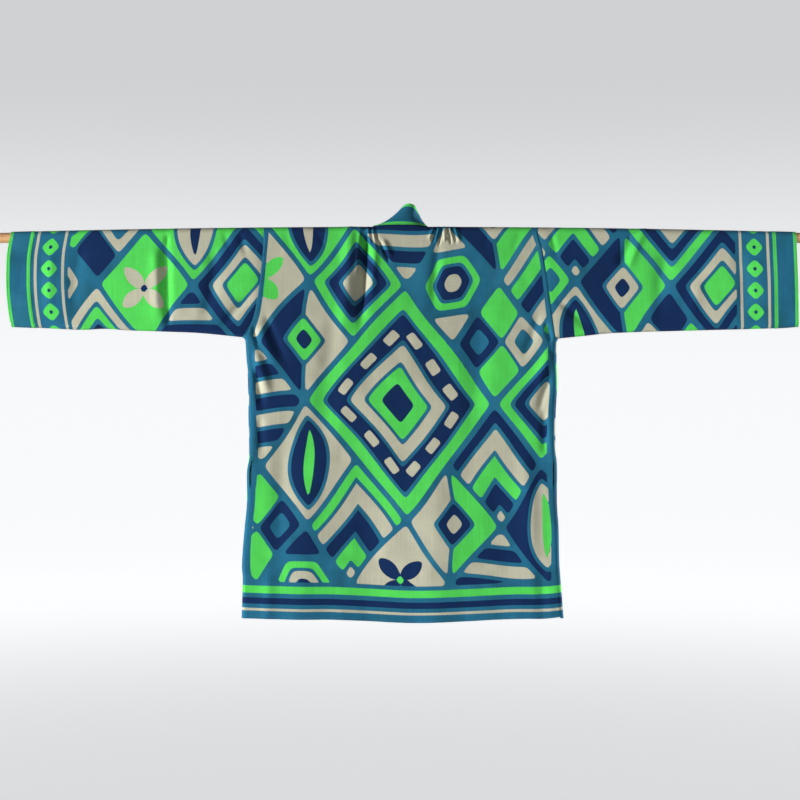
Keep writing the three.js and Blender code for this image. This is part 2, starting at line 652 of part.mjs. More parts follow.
// The neckband: down the left front, round the back of the neck and down the right front.
function neckband() {
  const names = Object.keys(NECK_ROWS[0]);
  const steps = (NECK_ROWS.length - 1) * NECK_STEPS;
  const numbered = NECK_ROWS.map((row, step) => ({ step: step * NECK_STEPS, ...row }));
  const curves = Object.fromEntries(names.map((name) => [name, through(numbered, "step", name)]));
  const neck = [];
  for (let s = 0; s <= steps; s += 1) {
    const at = Object.fromEntries(names.map((name) => [name, curves[name](s)]));
    const row = [];
    for (let c = 0; c <= BAND_CELLS; c += 1) {
      const t = c / BAND_CELLS;
      row.push(
        new THREE.Vector3(
          lerp(at.seamX, at.edgeX, t),
          lerp(at.seamY, at.edgeY, t),
          lerp(at.seamZ, at.edgeZ, t),
        ),
      );
    }
    neck.push(row);
  }
  const down = (start, seamX, towards) => {
    const rows = [];
    const raise = BAND_CLOTH - CLOTH;
    for (let i = 1; i <= BAND_FRONT_CELLS; i += 1) {
      const row = start.map((from, c) => {
        const straightX = seamX + (towards * NECKBAND * c) / BAND_CELLS;
        const x = lerp(from.x, straightX, smooth(i / NECK_SETTLES));
        const z = lerp(from.z, hemZ(x), i / BAND_FRONT_CELLS);
        const point = onFace(1, x, z);
        point.y += raise;
        return point;
      });
      rows.push(row);
    }
    return rows;
  };
  const left = down(neck[0], NECK_LEFT, 1).reverse();
  const right = down(neck[neck.length - 1], NECK_RIGHT, -1);
  return wall("neckband", [...left, ...neck, ...right], BAND_CLOTH, bandMaterial());
}

// The rod: round sections square to X, strung along its gentle bow, with flat ends.
function rod() {
  const positions = [];
  const faces = [];
  for (let i = 0; i <= ROD_STEPS; i += 1) {
    const x = lerp(-ROD_LENGTH / 2, ROD_LENGTH / 2, i / ROD_STEPS);
    for (let k = 0; k < ROD_SIDES; k += 1) {
      const angle = (2 * Math.PI * k) / ROD_SIDES;
      positions.push(x, ROD_RADIUS * Math.cos(angle), rodZ(x) + ROD_RADIUS * Math.sin(angle));
    }
  }
  const at = (i, k) => i * ROD_SIDES + (k % ROD_SIDES);
  for (let i = 0; i < ROD_STEPS; i += 1)
    for (let k = 0; k < ROD_SIDES; k += 1) {
      faces.push(at(i, k), at(i + 1, k + 1), at(i + 1, k));
      faces.push(at(i, k), at(i, k + 1), at(i + 1, k + 1));
    }
  for (let k = 1; k < ROD_SIDES - 1; k += 1) {
    faces.push(at(0, 0), at(0, k + 1), at(0, k));
    faces.push(at(ROD_STEPS, 0), at(ROD_STEPS, k), at(ROD_STEPS, k + 1));
  }
  const geometry = new THREE.BufferGeometry();
  geometry.setAttribute("position", new THREE.Float32BufferAttribute(positions, 3));
  geometry.setIndex(faces);
  geometry.computeVertexNormals();
  const mesh = new THREE.Mesh(geometry, woodMaterial());
  mesh.name = "rod";
  return mesh;
}

const jacket = new THREE.Group();
jacket.add(
  rod(),
  backPanel(),
  frontPanel("front_left", OUTLINE.left, NECK_LEFT),
  frontPanel("front_right", OUTLINE.right, NECK_RIGHT),
  sleeve("sleeve_left", OUTLINE.left),
  sleeve("sleeve_right", OUTLINE.right),
  cuffBand("cuff_band_left", OUTLINE.left),
  cuffBand("cuff_band_right", OUTLINE.right),
  neckband(),
);

export default jacket;
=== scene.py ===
"""A short kimono-style jacket hung on a wooden rod: its cloth, print, stitching, wood, floor and light.

Forms are worked out in millimetres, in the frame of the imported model, and written to meshes in metres.
"""

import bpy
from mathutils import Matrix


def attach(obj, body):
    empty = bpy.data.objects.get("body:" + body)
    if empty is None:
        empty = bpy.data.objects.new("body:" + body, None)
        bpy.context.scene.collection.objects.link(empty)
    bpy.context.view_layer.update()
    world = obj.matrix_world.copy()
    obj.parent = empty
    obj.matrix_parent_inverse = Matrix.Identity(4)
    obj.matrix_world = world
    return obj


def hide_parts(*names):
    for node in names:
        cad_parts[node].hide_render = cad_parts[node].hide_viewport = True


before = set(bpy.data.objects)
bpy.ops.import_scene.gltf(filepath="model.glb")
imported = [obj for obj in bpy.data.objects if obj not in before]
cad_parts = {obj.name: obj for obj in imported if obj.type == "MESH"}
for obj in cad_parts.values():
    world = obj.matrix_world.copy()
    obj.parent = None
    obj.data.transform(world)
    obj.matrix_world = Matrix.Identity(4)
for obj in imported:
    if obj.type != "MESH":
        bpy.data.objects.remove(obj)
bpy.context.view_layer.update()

import logging
import math
from dataclasses import dataclass, field
from enum import Enum
from typing import Callable, Iterable, Sequence

import bpy
import numpy as np
from mathutils import Vector

LOG = logging.getLogger("jacket")
MM = 0.001
Array = np.ndarray
Colour = tuple[float, float, float, float]
Socket = bpy.types.NodeSocket
Half = tuple[float, float]


class Face(Enum):
    """The two faces of the hanging garment."""

    BACK = -1
    FRONT = 1


class Ink(Enum):
    """The inks printed on the teal ground, by their channel in the ink attribute."""

    GREEN = 0
    NAVY = 1
    ECRU = 2
    GROUND = 3


class Curve:
    """A smooth curve through a short table of points, level beyond its ends."""

    def __init__(self, at: Sequence[float], value: Sequence[float]) -> None:
        """Sorts the table.

        Args:
            at: Where each point lies.
            value: The curve's value there.
        """
        order = np.argsort(at)
        self.at = np.asarray(at, float)[order]
        self.value = np.asarray(value, float)[order]
        before = np.maximum(np.arange(len(at)) - 1, 0)
        after = np.minimum(np.arange(len(at)) + 1, len(at) - 1)
        rise = self.value[after] - self.value[before]
        self.slope = rise / (self.at[after] - self.at[before])

    def __call__(self, key: Array | float) -> Array:
        """Returns the curve's value at each key."""
        key = np.clip(key, self.at[0], self.at[-1])
        i = np.clip(np.searchsorted(self.at, key, side="right") - 1, 0, len(self.at) - 2)
        span = self.at[i + 1] - self.at[i]
        t = (key - self.at[i]) / span
        t2, t3 = t * t, t * t * t
        return (
            (2 * t3 - 3 * t2 + 1) * self.value[i]
            + (t3 - 2 * t2 + t) * span * self.slope[i]
            + (3 * t2 - 2 * t3) * self.value[i + 1]
            + (t3 - t2) * span * self.slope[i + 1]
        )


def lerp(a: Array | float, b: Array | float, t: Array | float) -> Array:
    """Returns the value that lies the share t of the way from a to b."""
    return a + (b - a) * t


def smooth(t: Array | float) -> Array:
    """Returns a soft step from 0 to 1 as t goes from 0 to 1."""
    s = np.clip(t, 0.0, 1.0)
    return s * s * (3 - 2 * s)


def graded(start: float, runs: Iterable[tuple[float, float]]) -> Array:
    """Returns stations from start through each run.

    Args:
        start: The first station.
        runs: Pairs of where a run ends and about how far apart its stations lie.
    """
    stations = [np.array([start])]
    at = start
    for end, step in runs:
        count = max(int(round(abs(end - at) / step)), 1)
        stations.append(np.linspace(at, end, count + 1)[1:])
        at = end
    return np.concatenate(stations)


@dataclass(frozen=True)
class Sizes:
    """The garment's driving dimensions, in millimetres."""

    cloth: float = 0.7
    band_cloth: float = 1.3
    seam_gap: float = 0.25
    half_seam: float = 0.12
    rod_length: float = 1520
    rod_radius: float = 9
    rod_bow: float = 11.4
    half_depth: float = 8.6
    depth_settles: float = 70
    cuff_band: float = 42
    neck_left: float = -51.5
    neck_right: float = 44.5
    neckband: float = 42.5
    underarm_round: float = 8
    underarm_mitre: float = math.pi / 4
    side_seam_in: float = 6
    slit_top: float = -399
    slit_bottom: float = -450
    slit_width: float = 3.2
    slit_on_back: float = 0.55
    hem_stitch: float = 4.5

    @property
    def over_rod(self) -> float:
        """The outer radius of the cloth where it lies on the rod."""
        return self.rod_radius + self.seam_gap + self.cloth


SIZE = Sizes()


def rod_z(x: Array | float) -> Array:
    """Returns the height of the rod's axis, which droops evenly towards both ends."""
    return -SIZE.rod_bow * (np.asarray(x, float) / (SIZE.rod_length / 2)) ** 2


HEM_Z = Curve(
    at=(-290, -179, -121, -4, 32, 107, 198, 251, 292),
    value=(-678.6, -681.7, -682.2, -688.2, -688.7, -686.4, -682.4, -681.7, -677),
)


@dataclass(frozen=True)
class HalfOutline:
    """The outline of the garment's left or right half.

    The lower outline runs along the sleeve's hem, turns at a small fillet under the arm and goes down
    the body's side. The armhole seam meets that fillet on its mitre.
    """

    sign: int
    cuff_edge: Curve
    sleeve_hem: Curve
    armhole_top: tuple[tuple[float, float], ...]
    body_side: Curve

    @property
    def centre_x(self) -> float:
        """The fillet's centre across."""
        return float(self.body_side(-190)) + self.sign * SIZE.underarm_round

    @property
    def centre_z(self) -> float:
        """The fillet's centre up."""
        return float(self.sleeve_hem(self.centre_x)) - SIZE.underarm_round

    def mitre(self, out: float) -> tuple[float, float]:
        """Returns the (x, z) of the point that lies out beyond the fillet on the mitre."""
        reach = SIZE.underarm_round + out
        return (
            self.centre_x - self.sign * reach * math.cos(SIZE.underarm_mitre),
            self.centre_z + reach * math.sin(SIZE.underarm_mitre),
        )

    def armhole(self, z: Array | float) -> Array:
        """Returns the armhole seam's x at each height."""
        end_x, end_z = self.mitre(SIZE.half_depth)
        rows = [*self.armhole_top, (end_z, end_x)]
        above = Curve([row[0] for row in rows], [row[1] for row in rows])(z)
        below = end_x + self.sign * (end_z - z) / math.tan(SIZE.underarm_mitre)
        return np.where(np.asarray(z) >= end_z, above, below)


LEFT = HalfOutline(
    sign=-1,
    cuff_edge=Curve(
        at=(12, 0, -39, -70, -105, -139, -168),
        value=(-686.5, -687.3, -694, -695.6, -695, -691.7, -687),
    ),
    sleeve_hem=Curve(
        at=(-700, -632, -563, -522, -482, -415, -355, -284),
        value=(-166, -168.7, -171.7, -170, -172.7, -175, -177.5, -184.5),
    ),
    armhole_top=((12, -242.5), (-33, -244.8), (-88, -250.2), (-141, -259)),
    body_side=Curve(
        at=(-190, -230, -262, -340, -395, -420, -445, -481, -514, -567, -592, -608, -690),
        value=(
            *(-275.8, -273.4, -271.3, -270.2, -269.4, -272.8, -273.2),
            *(-273.4, -276.7, -281.1, -282, -280.6, -282.8),
        ),
    ),
)
RIGHT = HalfOutline(
    sign=1,
    cuff_edge=Curve(at=(12, -1, -84, -168), value=(692, 692.3, 696, 697.4)),
    sleeve_hem=Curve(
        at=(281, 313, 372, 525, 658, 702),
        value=(-186.5, -183.4, -177.5, -172.7, -169, -166),
    ),
    armhole_top=((12, 237.2), (-10, 240), (-25, 245), (-74, 253.5), (-130, 261.5)),
    body_side=Curve(
        at=(-190, -223, -272, -313, -374, -410, -478, -518, -580, -620, -690),
        value=(272.8, 272.3, 273.4, 271, 270.4, 272.8, 273, 275.8, 277.2, 280, 285.6),
    ),
)


@dataclass(frozen=True)
class Fold:
    """A soft ridge or trough that runs along a gently bent line.

    Attributes:
        name: What the fold is.
        x0, z0: Its upper end.
        x1, z1: Its lower end.
        width: How far from its line it falls to about a third.
        rise: Its height, below 0 for a trough.
        bend: How far its middle stands off the straight line.
        near_rod: Whether it keeps its depth where the cloth lies on the rod.
    """

    name: str
    x0: float
    z0: float
    x1: float
    z1: float
    width: float
    rise: float
    bend: float = 0.0
    near_rod: bool = False

    START_SHARE = 0.35
    START_RUN = 0.25
    END_RUN = 0.42
    RUNS_TO_HEM = -650
    FREE_OF_ROD = 46

    def height(self, x: Array, z: Array) -> Array:
        """Returns the fold's rise at each point."""
        run_x, run_z = self.x1 - self.x0, self.z1 - self.z0
        length = math.hypot(run_x, run_z)
        along = ((x - self.x0) * run_x + (z - self.z0) * run_z) / length**2
        nearest = np.clip(along, 0, 1)
        aside = ((x - self.x0) * run_z - (z - self.z0) * run_x) / length
        aside = aside - self.bend * 4 * nearest * (1 - nearest)
        beyond = (along - nearest) * length
        away = np.hypot(aside, beyond)
        starts = smooth(self.START_SHARE + nearest / self.START_RUN)
        ends = 1.0 if self.z1 < self.RUNS_TO_HEM else smooth((1 - nearest) / self.END_RUN)
        grip = 1.0 if self.near_rod else smooth((rod_z(x) - z) / self.FREE_OF_ROD)
        return self.rise * np.exp(-((away / self.width) ** 2)) * starts * ends * grip


BACK_FOLDS = (
    Fold("neck trough", -63, -2, -75, -190, 9, -7.6, 0, True),
    Fold("neck ridge", -46, -4, -54, -130, 7, 3.0),
    Fold("left underarm ridge", -258, -208, -231, -296, 9, 5.2),
    Fold("left underarm trough", -259, -244, -243, -322, 7, -5.2),
    Fold("right underarm ridge", 259, -208, 236, -284, 9, 5.0),
    Fold("right underarm trough", 257, -256, 238, -326, 7, -5.2),
    Fold("right waist trough", 250, -314, 250, -400, 7, -4.2),
    Fold("left hem ridge", -170, -430, -182, -690, 34, 3.3),
    Fold("middle hem trough", -62, -400, -50, -690, 36, -3.3),
    Fold("middle hem ridge", 48, -380, 62, -690, 36, 3.6),
    Fold("right hem trough", 170, -420, 186, -690, 32, -3),
    Fold("left sleeve trough", -417, -10, -412, -176, 8.5, -5.4),
    Fold("left sleeve ridge", -434, -26, -430, -164, 9, 3.0),
    Fold("right sleeve trough", 407, -6, 378, -68, 8.5, -6.0),
)
FRONT_FOLDS = (
    Fold("left shoulder trough", -96, -10, -118, -230, 14, -6.7),
    Fold("right shoulder trough", 92, -10, 108, -210, 14, -6.3),
    Fold("left underarm ridge", -256, -214, -226, -300, 12, 4.8),
    Fold("left underarm trough", -256, -252, -238, -330, 11, -5),
    Fold("right underarm ridge", 257, -214, 230, -296, 12, 4.8),
    Fold("right underarm trough", 256, -256, 236, -326, 11, -5),
    Fold("left hem ridge", -156, -400, -168, -690, 34, 4.3),
    Fold("right hem ridge", 150, -420, 166, -690, 34, 3.9),
    Fold("left sleeve trough", -404, -12, -398, -178, 12, -5),
    Fold("right sleeve trough", 418, -8, 396, -110, 12, -5.5),
)
BACK_CREASES = (
    Fold("pinch at the neck's left", -60, 8, -52, -30, 3.0, 4.1, 1.5, True),
    Fold("second pinch", -52, 9, -44, -22, 2.4, 2.6, 1, True),
    Fold("lip of the trough", -73, 7, -81, -96, 4.6, 2.6, 0, True),
    Fold("left bank of the trough", -90, 5, -104, -200, 12, 5.6, 0, True),
    Fold("core of the trough", -64, -4, -71, -150, 2.7, -8.6, -1, True),
    Fold("groove right of the pinch", -46, 2, -38, -36, 2.6, -4.6, 1, True),
    Fold("diagonal crease", -40, -16, -21, -56, 2.2, -8.0, 1, True),
    Fold("ridge above the crease", -33, -14, -15, -48, 4.2, 3.4, 1, True),
    Fold("first gather", 57, 8, 46, -16, 2.3, 3.2, 1, True),
    Fold("second gather", 65, 9, 58, -18, 1.9, 4.4, 0.5, True),
    Fold("third gather", 74, 9, 75, -20, 2.4, 4.6, 0, True),
    Fold("fourth gather", 82, 9, 91, -18, 1.9, 3.8, -0.5, True),
    Fold("fifth gather", 91, 9, 102, -22, 2.8, 3.0, -1, True),
    Fold("crease of the first gather", 62, 4, 52, -22, 1.9, -4.8, 0.5, True),
    Fold("crease of the second gather", 68.5, 4, 64, -28, 1.9, -5.2, 0, True),
    Fold("crease of the third gather", 79, 4, 87, -24, 1.9, -4.8, 0, True),
    Fold("crease of the fourth gather", 86, 4, 96, -22, 1.9, -3.8, 0, True),
    Fold("long soft fold below the gathers", 66, -22, 58, -150, 9, -3.6, 4),
    Fold("shoulder wrinkle, left", -150, 4, -128, -34, 5, -1.3, 2, True),
    Fold("shoulder wrinkle, far left", -206, 6, -190, -38, 5, -1.1, 2, True),
    Fold("shoulder wrinkle, right", 152, 5, 140, -30, 5, -1.2, -2, True),
    Fold("shoulder wrinkle, far right", 210, 6, 196, -44, 5, -1.2, 2, True),
    Fold("left armhole drag", -238, -146, -196, -240, 7, -3.6, 4),
    Fold("left armhole drag ridge", -250, -160, -212, -254, 7, 3.2, 4),
    Fold("right armhole drag", 240, -146, 206, -230, 7, -3.5, -4),
    Fold("right waist soft ridge", 262, -312, 262, -396, 4.5, 2.6),
    Fold("left waist soft trough", -250, -326, -246, -400, 7, -3.4),
    Fold("crease at the right underarm", 253, -160, 265, -202, 3.2, -4.4, 1),
    Fold("crease at the left underarm", -262, -166, -250, -210, 3.2, -4.0, 1),
    Fold("long fold, left of centre", -120, -150, -134, -420, 18, -3.2, 6),
    Fold("long fold, right of centre", 132, -140, 118, -400, 18, -3.2, -6),
    Fold("seat fold, left", -205, -360, -214, -600, 14, -3.0, 4),
    Fold("seat fold, right", 214, -380, 226, -610, 14, 3.0, -4),
    Fold("cross wrinkle", -30, -250, 70, -262, 12, 1.4, 6),
    Fold("low cross wrinkle", -130, -560, -20, -572, 12, -1.4, 5),
    Fold("hem lift, left", -232, -600, -238, -690, 10, 2.4),
    Fold("hem lift, right", 244, -590, 250, -690, 10, -2.5),
    Fold("left sleeve pinch, top", -414, 7, -412, -30, 3.2, -3.6, 0, True),
    Fold("left sleeve pinch, low", -412, -132, -412, -180, 4.2, -4.2),
    Fold("left sleeve wrinkle by the armhole", -286, 6, -268, -46, 4.4, -2.4, 3, True),
    Fold("left sleeve second wrinkle", -312, 6, -300, -38, 4.4, -2.0, 2, True),
    Fold("left sleeve long fold", -330, -30, -352, -172, 11, -3.6, -6),
    Fold("left sleeve cuff fold", -560, -10, -575, -168, 12, -3.4, 6),
    Fold("left sleeve cuff ridge", -610, -8, -618, -168, 10, 2.6, 4),
    Fold("left sleeve drag", -270, -116, -322, -178, 7, -3.8, 4),
    Fold("right sleeve pinch, top", 402, 8, 397, -24, 3.0, -3.8, 0, True),
    Fold("right sleeve diagonal ridge", 426, 4, 396, -72, 6.5, 2.8, 2, True),
    Fold("right sleeve wrinkle by the armhole", 262, 4, 276, -50, 4.4, -2.2, 2, True),
    Fold("right sleeve long fold", 470, -20, 452, -170, 12, -3.4, 6),
    Fold("right sleeve cuff fold", 590, -8, 600, -168, 11, -3.4, -5),
    Fold("right sleeve drag", 276, -122, 332, -178, 7, -3.8, -4),
    Fold("right sleeve low fold", 520, -96, 510, -170, 10, 2, 3),
)
FRONT_CREASES = (
    Fold("left shoulder wrinkle", -150, 6, -140, -40, 5, -2, 2, True),
    Fold("left shoulder wrinkle, outer", -204, 6, -190, -44, 5, -1.7, 2, True),
    Fold("right shoulder wrinkle", 146, 6, 136, -40, 5, -2, -2, True),
    Fold("right shoulder wrinkle, outer", 208, 6, 196, -40, 5, -1.7, 2, True),
    Fold("left gather at the band", -60, 6, -66, -30, 2.6, -2.7, 1, True),
    Fold("left gather at the band, second", -70, 6, -80, -26, 2.6, -2.2, 1, True),
    Fold("right gather at the band", 54, 6, 60, -30, 2.6, -2.7, 1, True),
    Fold("right gather at the band, second", 64, 6, 74, -24, 2.6, -2.2, 1, True),
    Fold("left long fold", -150, -160, -140, -400, 20, -3.4, 6),
    Fold("right long fold", 160, -150, 150, -410, 20, 3.4, -6),
    Fold("left waist fold", -232, -330, -228, -460, 10, -3.1, 4),
    Fold("right waist fold", 236, -320, 232, -450, 10, 3.1, 4),
    Fold("left hem lift", -216, -560, -224, -690, 14, -3.4),
    Fold("right hem lift", 214, -570, 224, -690, 14, 3.4),
    Fold("left cross wrinkle", -200, -480, -90, -470, 12, -1.8, 5),
    Fold("right cross wrinkle", 90, -520, 190, -540, 12, 1.8, 5),
    Fold("left sleeve long fold", -340, -20, -350, -172, 14, -3.4, 6),
    Fold("left sleeve second fold", -470, -12, -486, -170, 14, 2.9, -5),
    Fold("left sleeve cuff fold", -590, -10, -584, -168, 14, -3.1, 4),
    Fold("right sleeve long fold", 340, -24, 352, -172, 14, -3.4, 6),
    Fold("right sleeve second fold", 486, -14, 500, -170, 15, 2.9, 5),
    Fold("right sleeve cuff fold", 600, -10, 590, -168, 13, -3.1, -4),
    Fold("left armhole drag", -240, -150, -200, -232, 8, -3.1, 4),
    Fold("right armhole drag", 242, -150, 204, -228, 8, -3.1, -4),
)


@dataclass(frozen=True)
class Ripple:
    """Faint unevenness of hung cloth: a fixed sum of long, low waves.

    Attributes:
        height: The size of the sum.
        shortest, longest: The range of the wavelengths.
        count: How many waves there are.
        seed: The seed of their directions.
    """

    height: float = 0.5
    shortest: float = 26
    longest: float = 130
    count: int = 26
    seed: int = 7

    def at(self, x: Array, z: Array) -> Array:
        """Returns the unevenness at each point."""
        draw = np.random.default_rng(self.seed)
        total = np.zeros_like(x, float)
        for _ in range(self.count):
            length = math.exp(draw.uniform(math.log(self.shortest), math.log(self.longest)))
            turn = draw.normal(0, 0.75)
            phase = draw.uniform(0, 2 * math.pi)
            across = math.cos(turn) * x + math.sin(turn) * z
            total += (length / self.longest) ** 0.7 * np.sin(2 * math.pi * across / length + phase)
        return self.height * total / math.sqrt(self.count / 2)


class Form:
    """The garment's outer surface, shared by every panel."""

    HANGS_FREE = 60
    EDGE_FADE = 0.8
    AIR_AT_ROD = 0.05
    ROOM_OVER_ROD = 0.18
    LEAST_ROOM = 0.15
    ROOM_BELOW_ROD = 5.2
    ROOM_RUN = 20
    FIRMNESS = 2.5
    ROD_FADE_ROWS = 4

    def __init__(self) -> None:
        """Collects the folds and the faint unevenness of each face."""
        self.folds = {Face.BACK: (*BACK_FOLDS, *BACK_CREASES), Face.FRONT: (*FRONT_FOLDS, *FRONT_CREASES)}
        self.ripple = {Face.BACK: Ripple(seed=7), Face.FRONT: Ripple(seed=21)}

    def inside_edge(self, x: Array, z: Array) -> Array:
        """Returns how far each point lies inside the lower outline."""
        x, z = np.broadcast_arrays(np.asarray(x, float), np.asarray(z, float))
        inside = np.empty(x.shape)
        for half, chosen in ((LEFT, x < 0), (RIGHT, x >= 0)):
            hx, hz = x[chosen], z[chosen]
            outward = half.sign * (hx - half.centre_x)
            under_sleeve = hz - half.sleeve_hem(hx)
            by_side = half.sign * (half.body_side(hz) - hx)
            fan = np.hypot(hx - half.centre_x, hz - half.centre_z) - SIZE.underarm_round
            value = np.where(hz < half.centre_z, by_side, fan)
            inside[chosen] = np.where(outward >= 0, under_sleeve, value)
        return inside

    def half_depth(self, x: Array, z: Array) -> Array:
        """Returns the outer half depth at each point, without the rounding of the lower edges."""
        drop = rod_z(x) - z
        on_rod = np.sqrt(np.maximum(SIZE.over_rod**2 - drop**2, 0))
        hanging = lerp(SIZE.over_rod, SIZE.half_depth, smooth(drop / SIZE.depth_settles))
        return np.where(drop < 0, on_rod, hanging)

    def relief(self, face: Face, x: Array, z: Array) -> Array:
        """Returns the outward rise of folds, creases and unevenness, fading out at the lower edges."""
        rise = sum(fold.height(x, z) for fold in self.folds[face])
        hang = smooth((rod_z(x) - z) / self.HANGS_FREE)
        rise = rise + self.ripple[face].at(x, z) * hang
        inner = self.inside_edge(x, z) - SIZE.half_depth
        fade = smooth(inner / (self.EDGE_FADE * SIZE.half_depth))
        return self.clear_of_rod(rise * fade, x, z)

    def clear_of_rod(self, rise: Array, x: Array, z: Array) -> Array:
        """Returns the rise with its troughs held off the rod, which lies close under the cloth."""
        drop = rod_z(x) - z
        rod_side = np.sqrt(np.maximum(SIZE.rod_radius**2 - drop**2, 0))
        room = self.half_depth(x, z) - SIZE.cloth - rod_side - self.AIR_AT_ROD
        room = room + self.ROOM_BELOW_ROD * smooth((drop - SIZE.rod_radius) / self.ROOM_RUN)
        room = np.where(drop < 0, self.ROOM_OVER_ROD, np.maximum(room, self.LEAST_ROOM))
        return np.logaddexp(0, self.FIRMNESS * (rise + room)) / self.FIRMNESS - room

    def on_rod(self, creases: Iterable[Fold], x: Array, z: Array, row: int) -> Array:
        """Returns the rise of the creases on the rod, softer towards the top row.

        Args:
            creases: The face's creases, of which those that lie on the rod count.
            x: Where each point lies across.
            z: Its height on the plain round of the rod.
            row: The row, counted from the top.
        """
        rise = sum(fold.height(x, z) for fold in creases if fold.near_rod)
        return self.clear_of_rod(rise, x, rod_z(x) + 1) * smooth((row + 1) / self.ROD_FADE_ROWS)

    def depth(self, face: Face, x: Array, z: Array) -> Array:
        """Returns the surface's distance from the garment's middle plane at each point."""
        inside = self.inside_edge(x, z)
        depth = self.half_depth(x, z)
        short = np.clip(depth - inside, 0, depth)
        return np.sqrt(np.maximum(depth**2 - short**2, 0)) + self.relief(face, x, z)

    def points(self, face: Face, x: Array, z: Array) -> Array:
        """Returns the surface's points as an array whose last axis is x, y, z."""
        x, z = np.broadcast_arrays(np.asarray(x, float), np.asarray(z, float))
        return np.stack([x, face.value * self.depth(face, x, z), z], axis=-1)


FORM = Form()


@dataclass
class Sheet:
    """A grid of outer points with each point's place on the flat cloth.

    Attributes:
        points: Rows by columns by x, y, z, in millimetres. NaN leaves a point out.
        cloth: Rows by columns by u, v on the flat cloth, in millimetres.
        loops: Whether the last column is the first one again, on a tube.
    """

    points: Array
    cloth: Array
    loops: bool = False

    def cells(self) -> Array:
        """Returns which cells have all four corners."""
        there = ~np.isnan(self.points[..., 0])
        return there[:-1, :-1] & there[1:, :-1] & there[1:, 1:] & there[:-1, 1:]

    def _crosses(self) -> Array:
        """Returns the cross product of each cell's diagonals."""
        p = self.points
        return np.cross(p[1:, 1:] - p[:-1, :-1], p[:-1, 1:] - p[1:, :-1])

    def normals(self) -> Array:
        """Returns the unit normal at each point, from the cells round it."""
        normal = np.where(self.cells()[..., None], self._crosses(), 0.0)
        total = np.zeros_like(self.points)
        for rows in (slice(None, -1), slice(1, None)):
            for columns in (slice(None, -1), slice(1, None)):
                total[rows, columns] += normal
        if self.loops:
            total[:, 0] += total[:, -1]
            total[:, -1] = total[:, 0]
        size = np.linalg.norm(total, axis=-1, keepdims=True)
        return total / np.where(size > 0, size, 1)

    def area(self) -> float:
        """Returns the sheet's area in square metres."""
        return float(np.linalg.norm(self._crosses()[self.cells()], axis=-1).sum() / 2) * MM * MM


class Print:
    """Works out, for each point of the flat cloth, how far it lies inside each ink.

    Later shapes are laid over earlier ones, as an opaque print is.
    """

    FAR = -500.0
    REACH = 30.0

    def __init__(self, u: Array, v: Array) -> None:
        """Starts with bare ground.

        Args:
            u: Each point's place across the cloth.
            v: Each point's place up the cloth.
        """
        self.u, self.v = u, v
        self.inside = np.full((3, *u.shape), self.FAR)

    def lay(self, ink: Ink, inside: Array) -> None:
        """Lays one shape over the print.

        Args:
            ink: The shape's ink, or GROUND to leave its place bare.
            inside: How far each point lies inside the shape.
        """
        for channel in range(3):
            if channel == ink.value:
                self.inside[channel] = np.maximum(self.inside[channel], inside)
            else:
                self.inside[channel] = np.minimum(self.inside[channel], -inside)

    def nest(self, inside: Array, rings: Iterable[tuple[Ink, float]]) -> None:
        """Lays shapes inside each other.

        Args:
            inside: How far each point lies inside the edge.
            rings: For each shape, its ink and how far inside the edge it starts.
        """
        for ink, start in rings:
            self.lay(ink, inside - start)

    def field(self) -> Array:
        """Returns the ink distances with the three inks on the last axis."""
        return np.clip(np.moveaxis(self.inside, 0, -1), -self.REACH, self.REACH)


def within(sides: Sequence[Array], softness: float = 3.0) -> Array:
    """Returns how far points lie inside the shape that a few sides bound, with soft corners.

    Args:
        sides: For each side, how far the points lie inside it.
        softness: How far the corners are rounded.
    """
    stack = np.stack(np.broadcast_arrays(*sides))
    low = stack.min(axis=0)
    return low - softness * np.log(np.exp(-(stack - low) / softness).sum(axis=0))


def turned(u: Array, v: Array, degrees: float) -> tuple[Array, Array]:
    """Returns the points' places seen from axes that are turned by so many degrees."""
    cosine, sine = math.cos(math.radians(degrees)), math.sin(math.radians(degrees))
    return u * cosine + v * sine, v * cosine - u * sine


def lozenge(u: Array, v: Array, half_width: float, half_height: float) -> Array:
    """Returns how far points lie inside a lozenge about the origin."""
    length = math.hypot(half_width, half_height)
    slope_u, slope_v = half_height / length, half_width / length
    reach = half_width * half_height / length
    return within([reach - slope_u * su * u - slope_v * sv * v for su in (-1, 1) for sv in (-1, 1)])


def hexagon(u: Array, v: Array, radius: float) -> Array:
    """Returns how far points lie inside an upright hexagon about the origin."""
    angles = [math.radians(30 + 60 * i) for i in range(6)]
    reach = radius * math.cos(math.radians(30))
    return within([reach - math.cos(a) * u - math.sin(a) * v for a in angles])


def leaf(u: Array, v: Array, half_width: float, half_length: float) -> Array:
    """Returns how far points lie inside an upright leaf about the origin, pointed at both ends."""
    radius = (half_width**2 + half_length**2) / (2 * half_width)
    off = radius - half_width
    return within([radius - np.hypot(u - off, v), radius - np.hypot(u + off, v)], 1.5)


class Motif(Enum):
    """The motifs that fill a lozenge of the lattice."""

    NESTED = "nested"
    HALVES = "halves"
    BARS = "bars"
    LEAF = "leaf"
    QUARTERS = "quarters"
    KIKKO = "kikko"
    PETALS = "petals"
    CHEVRONS = "chevrons"


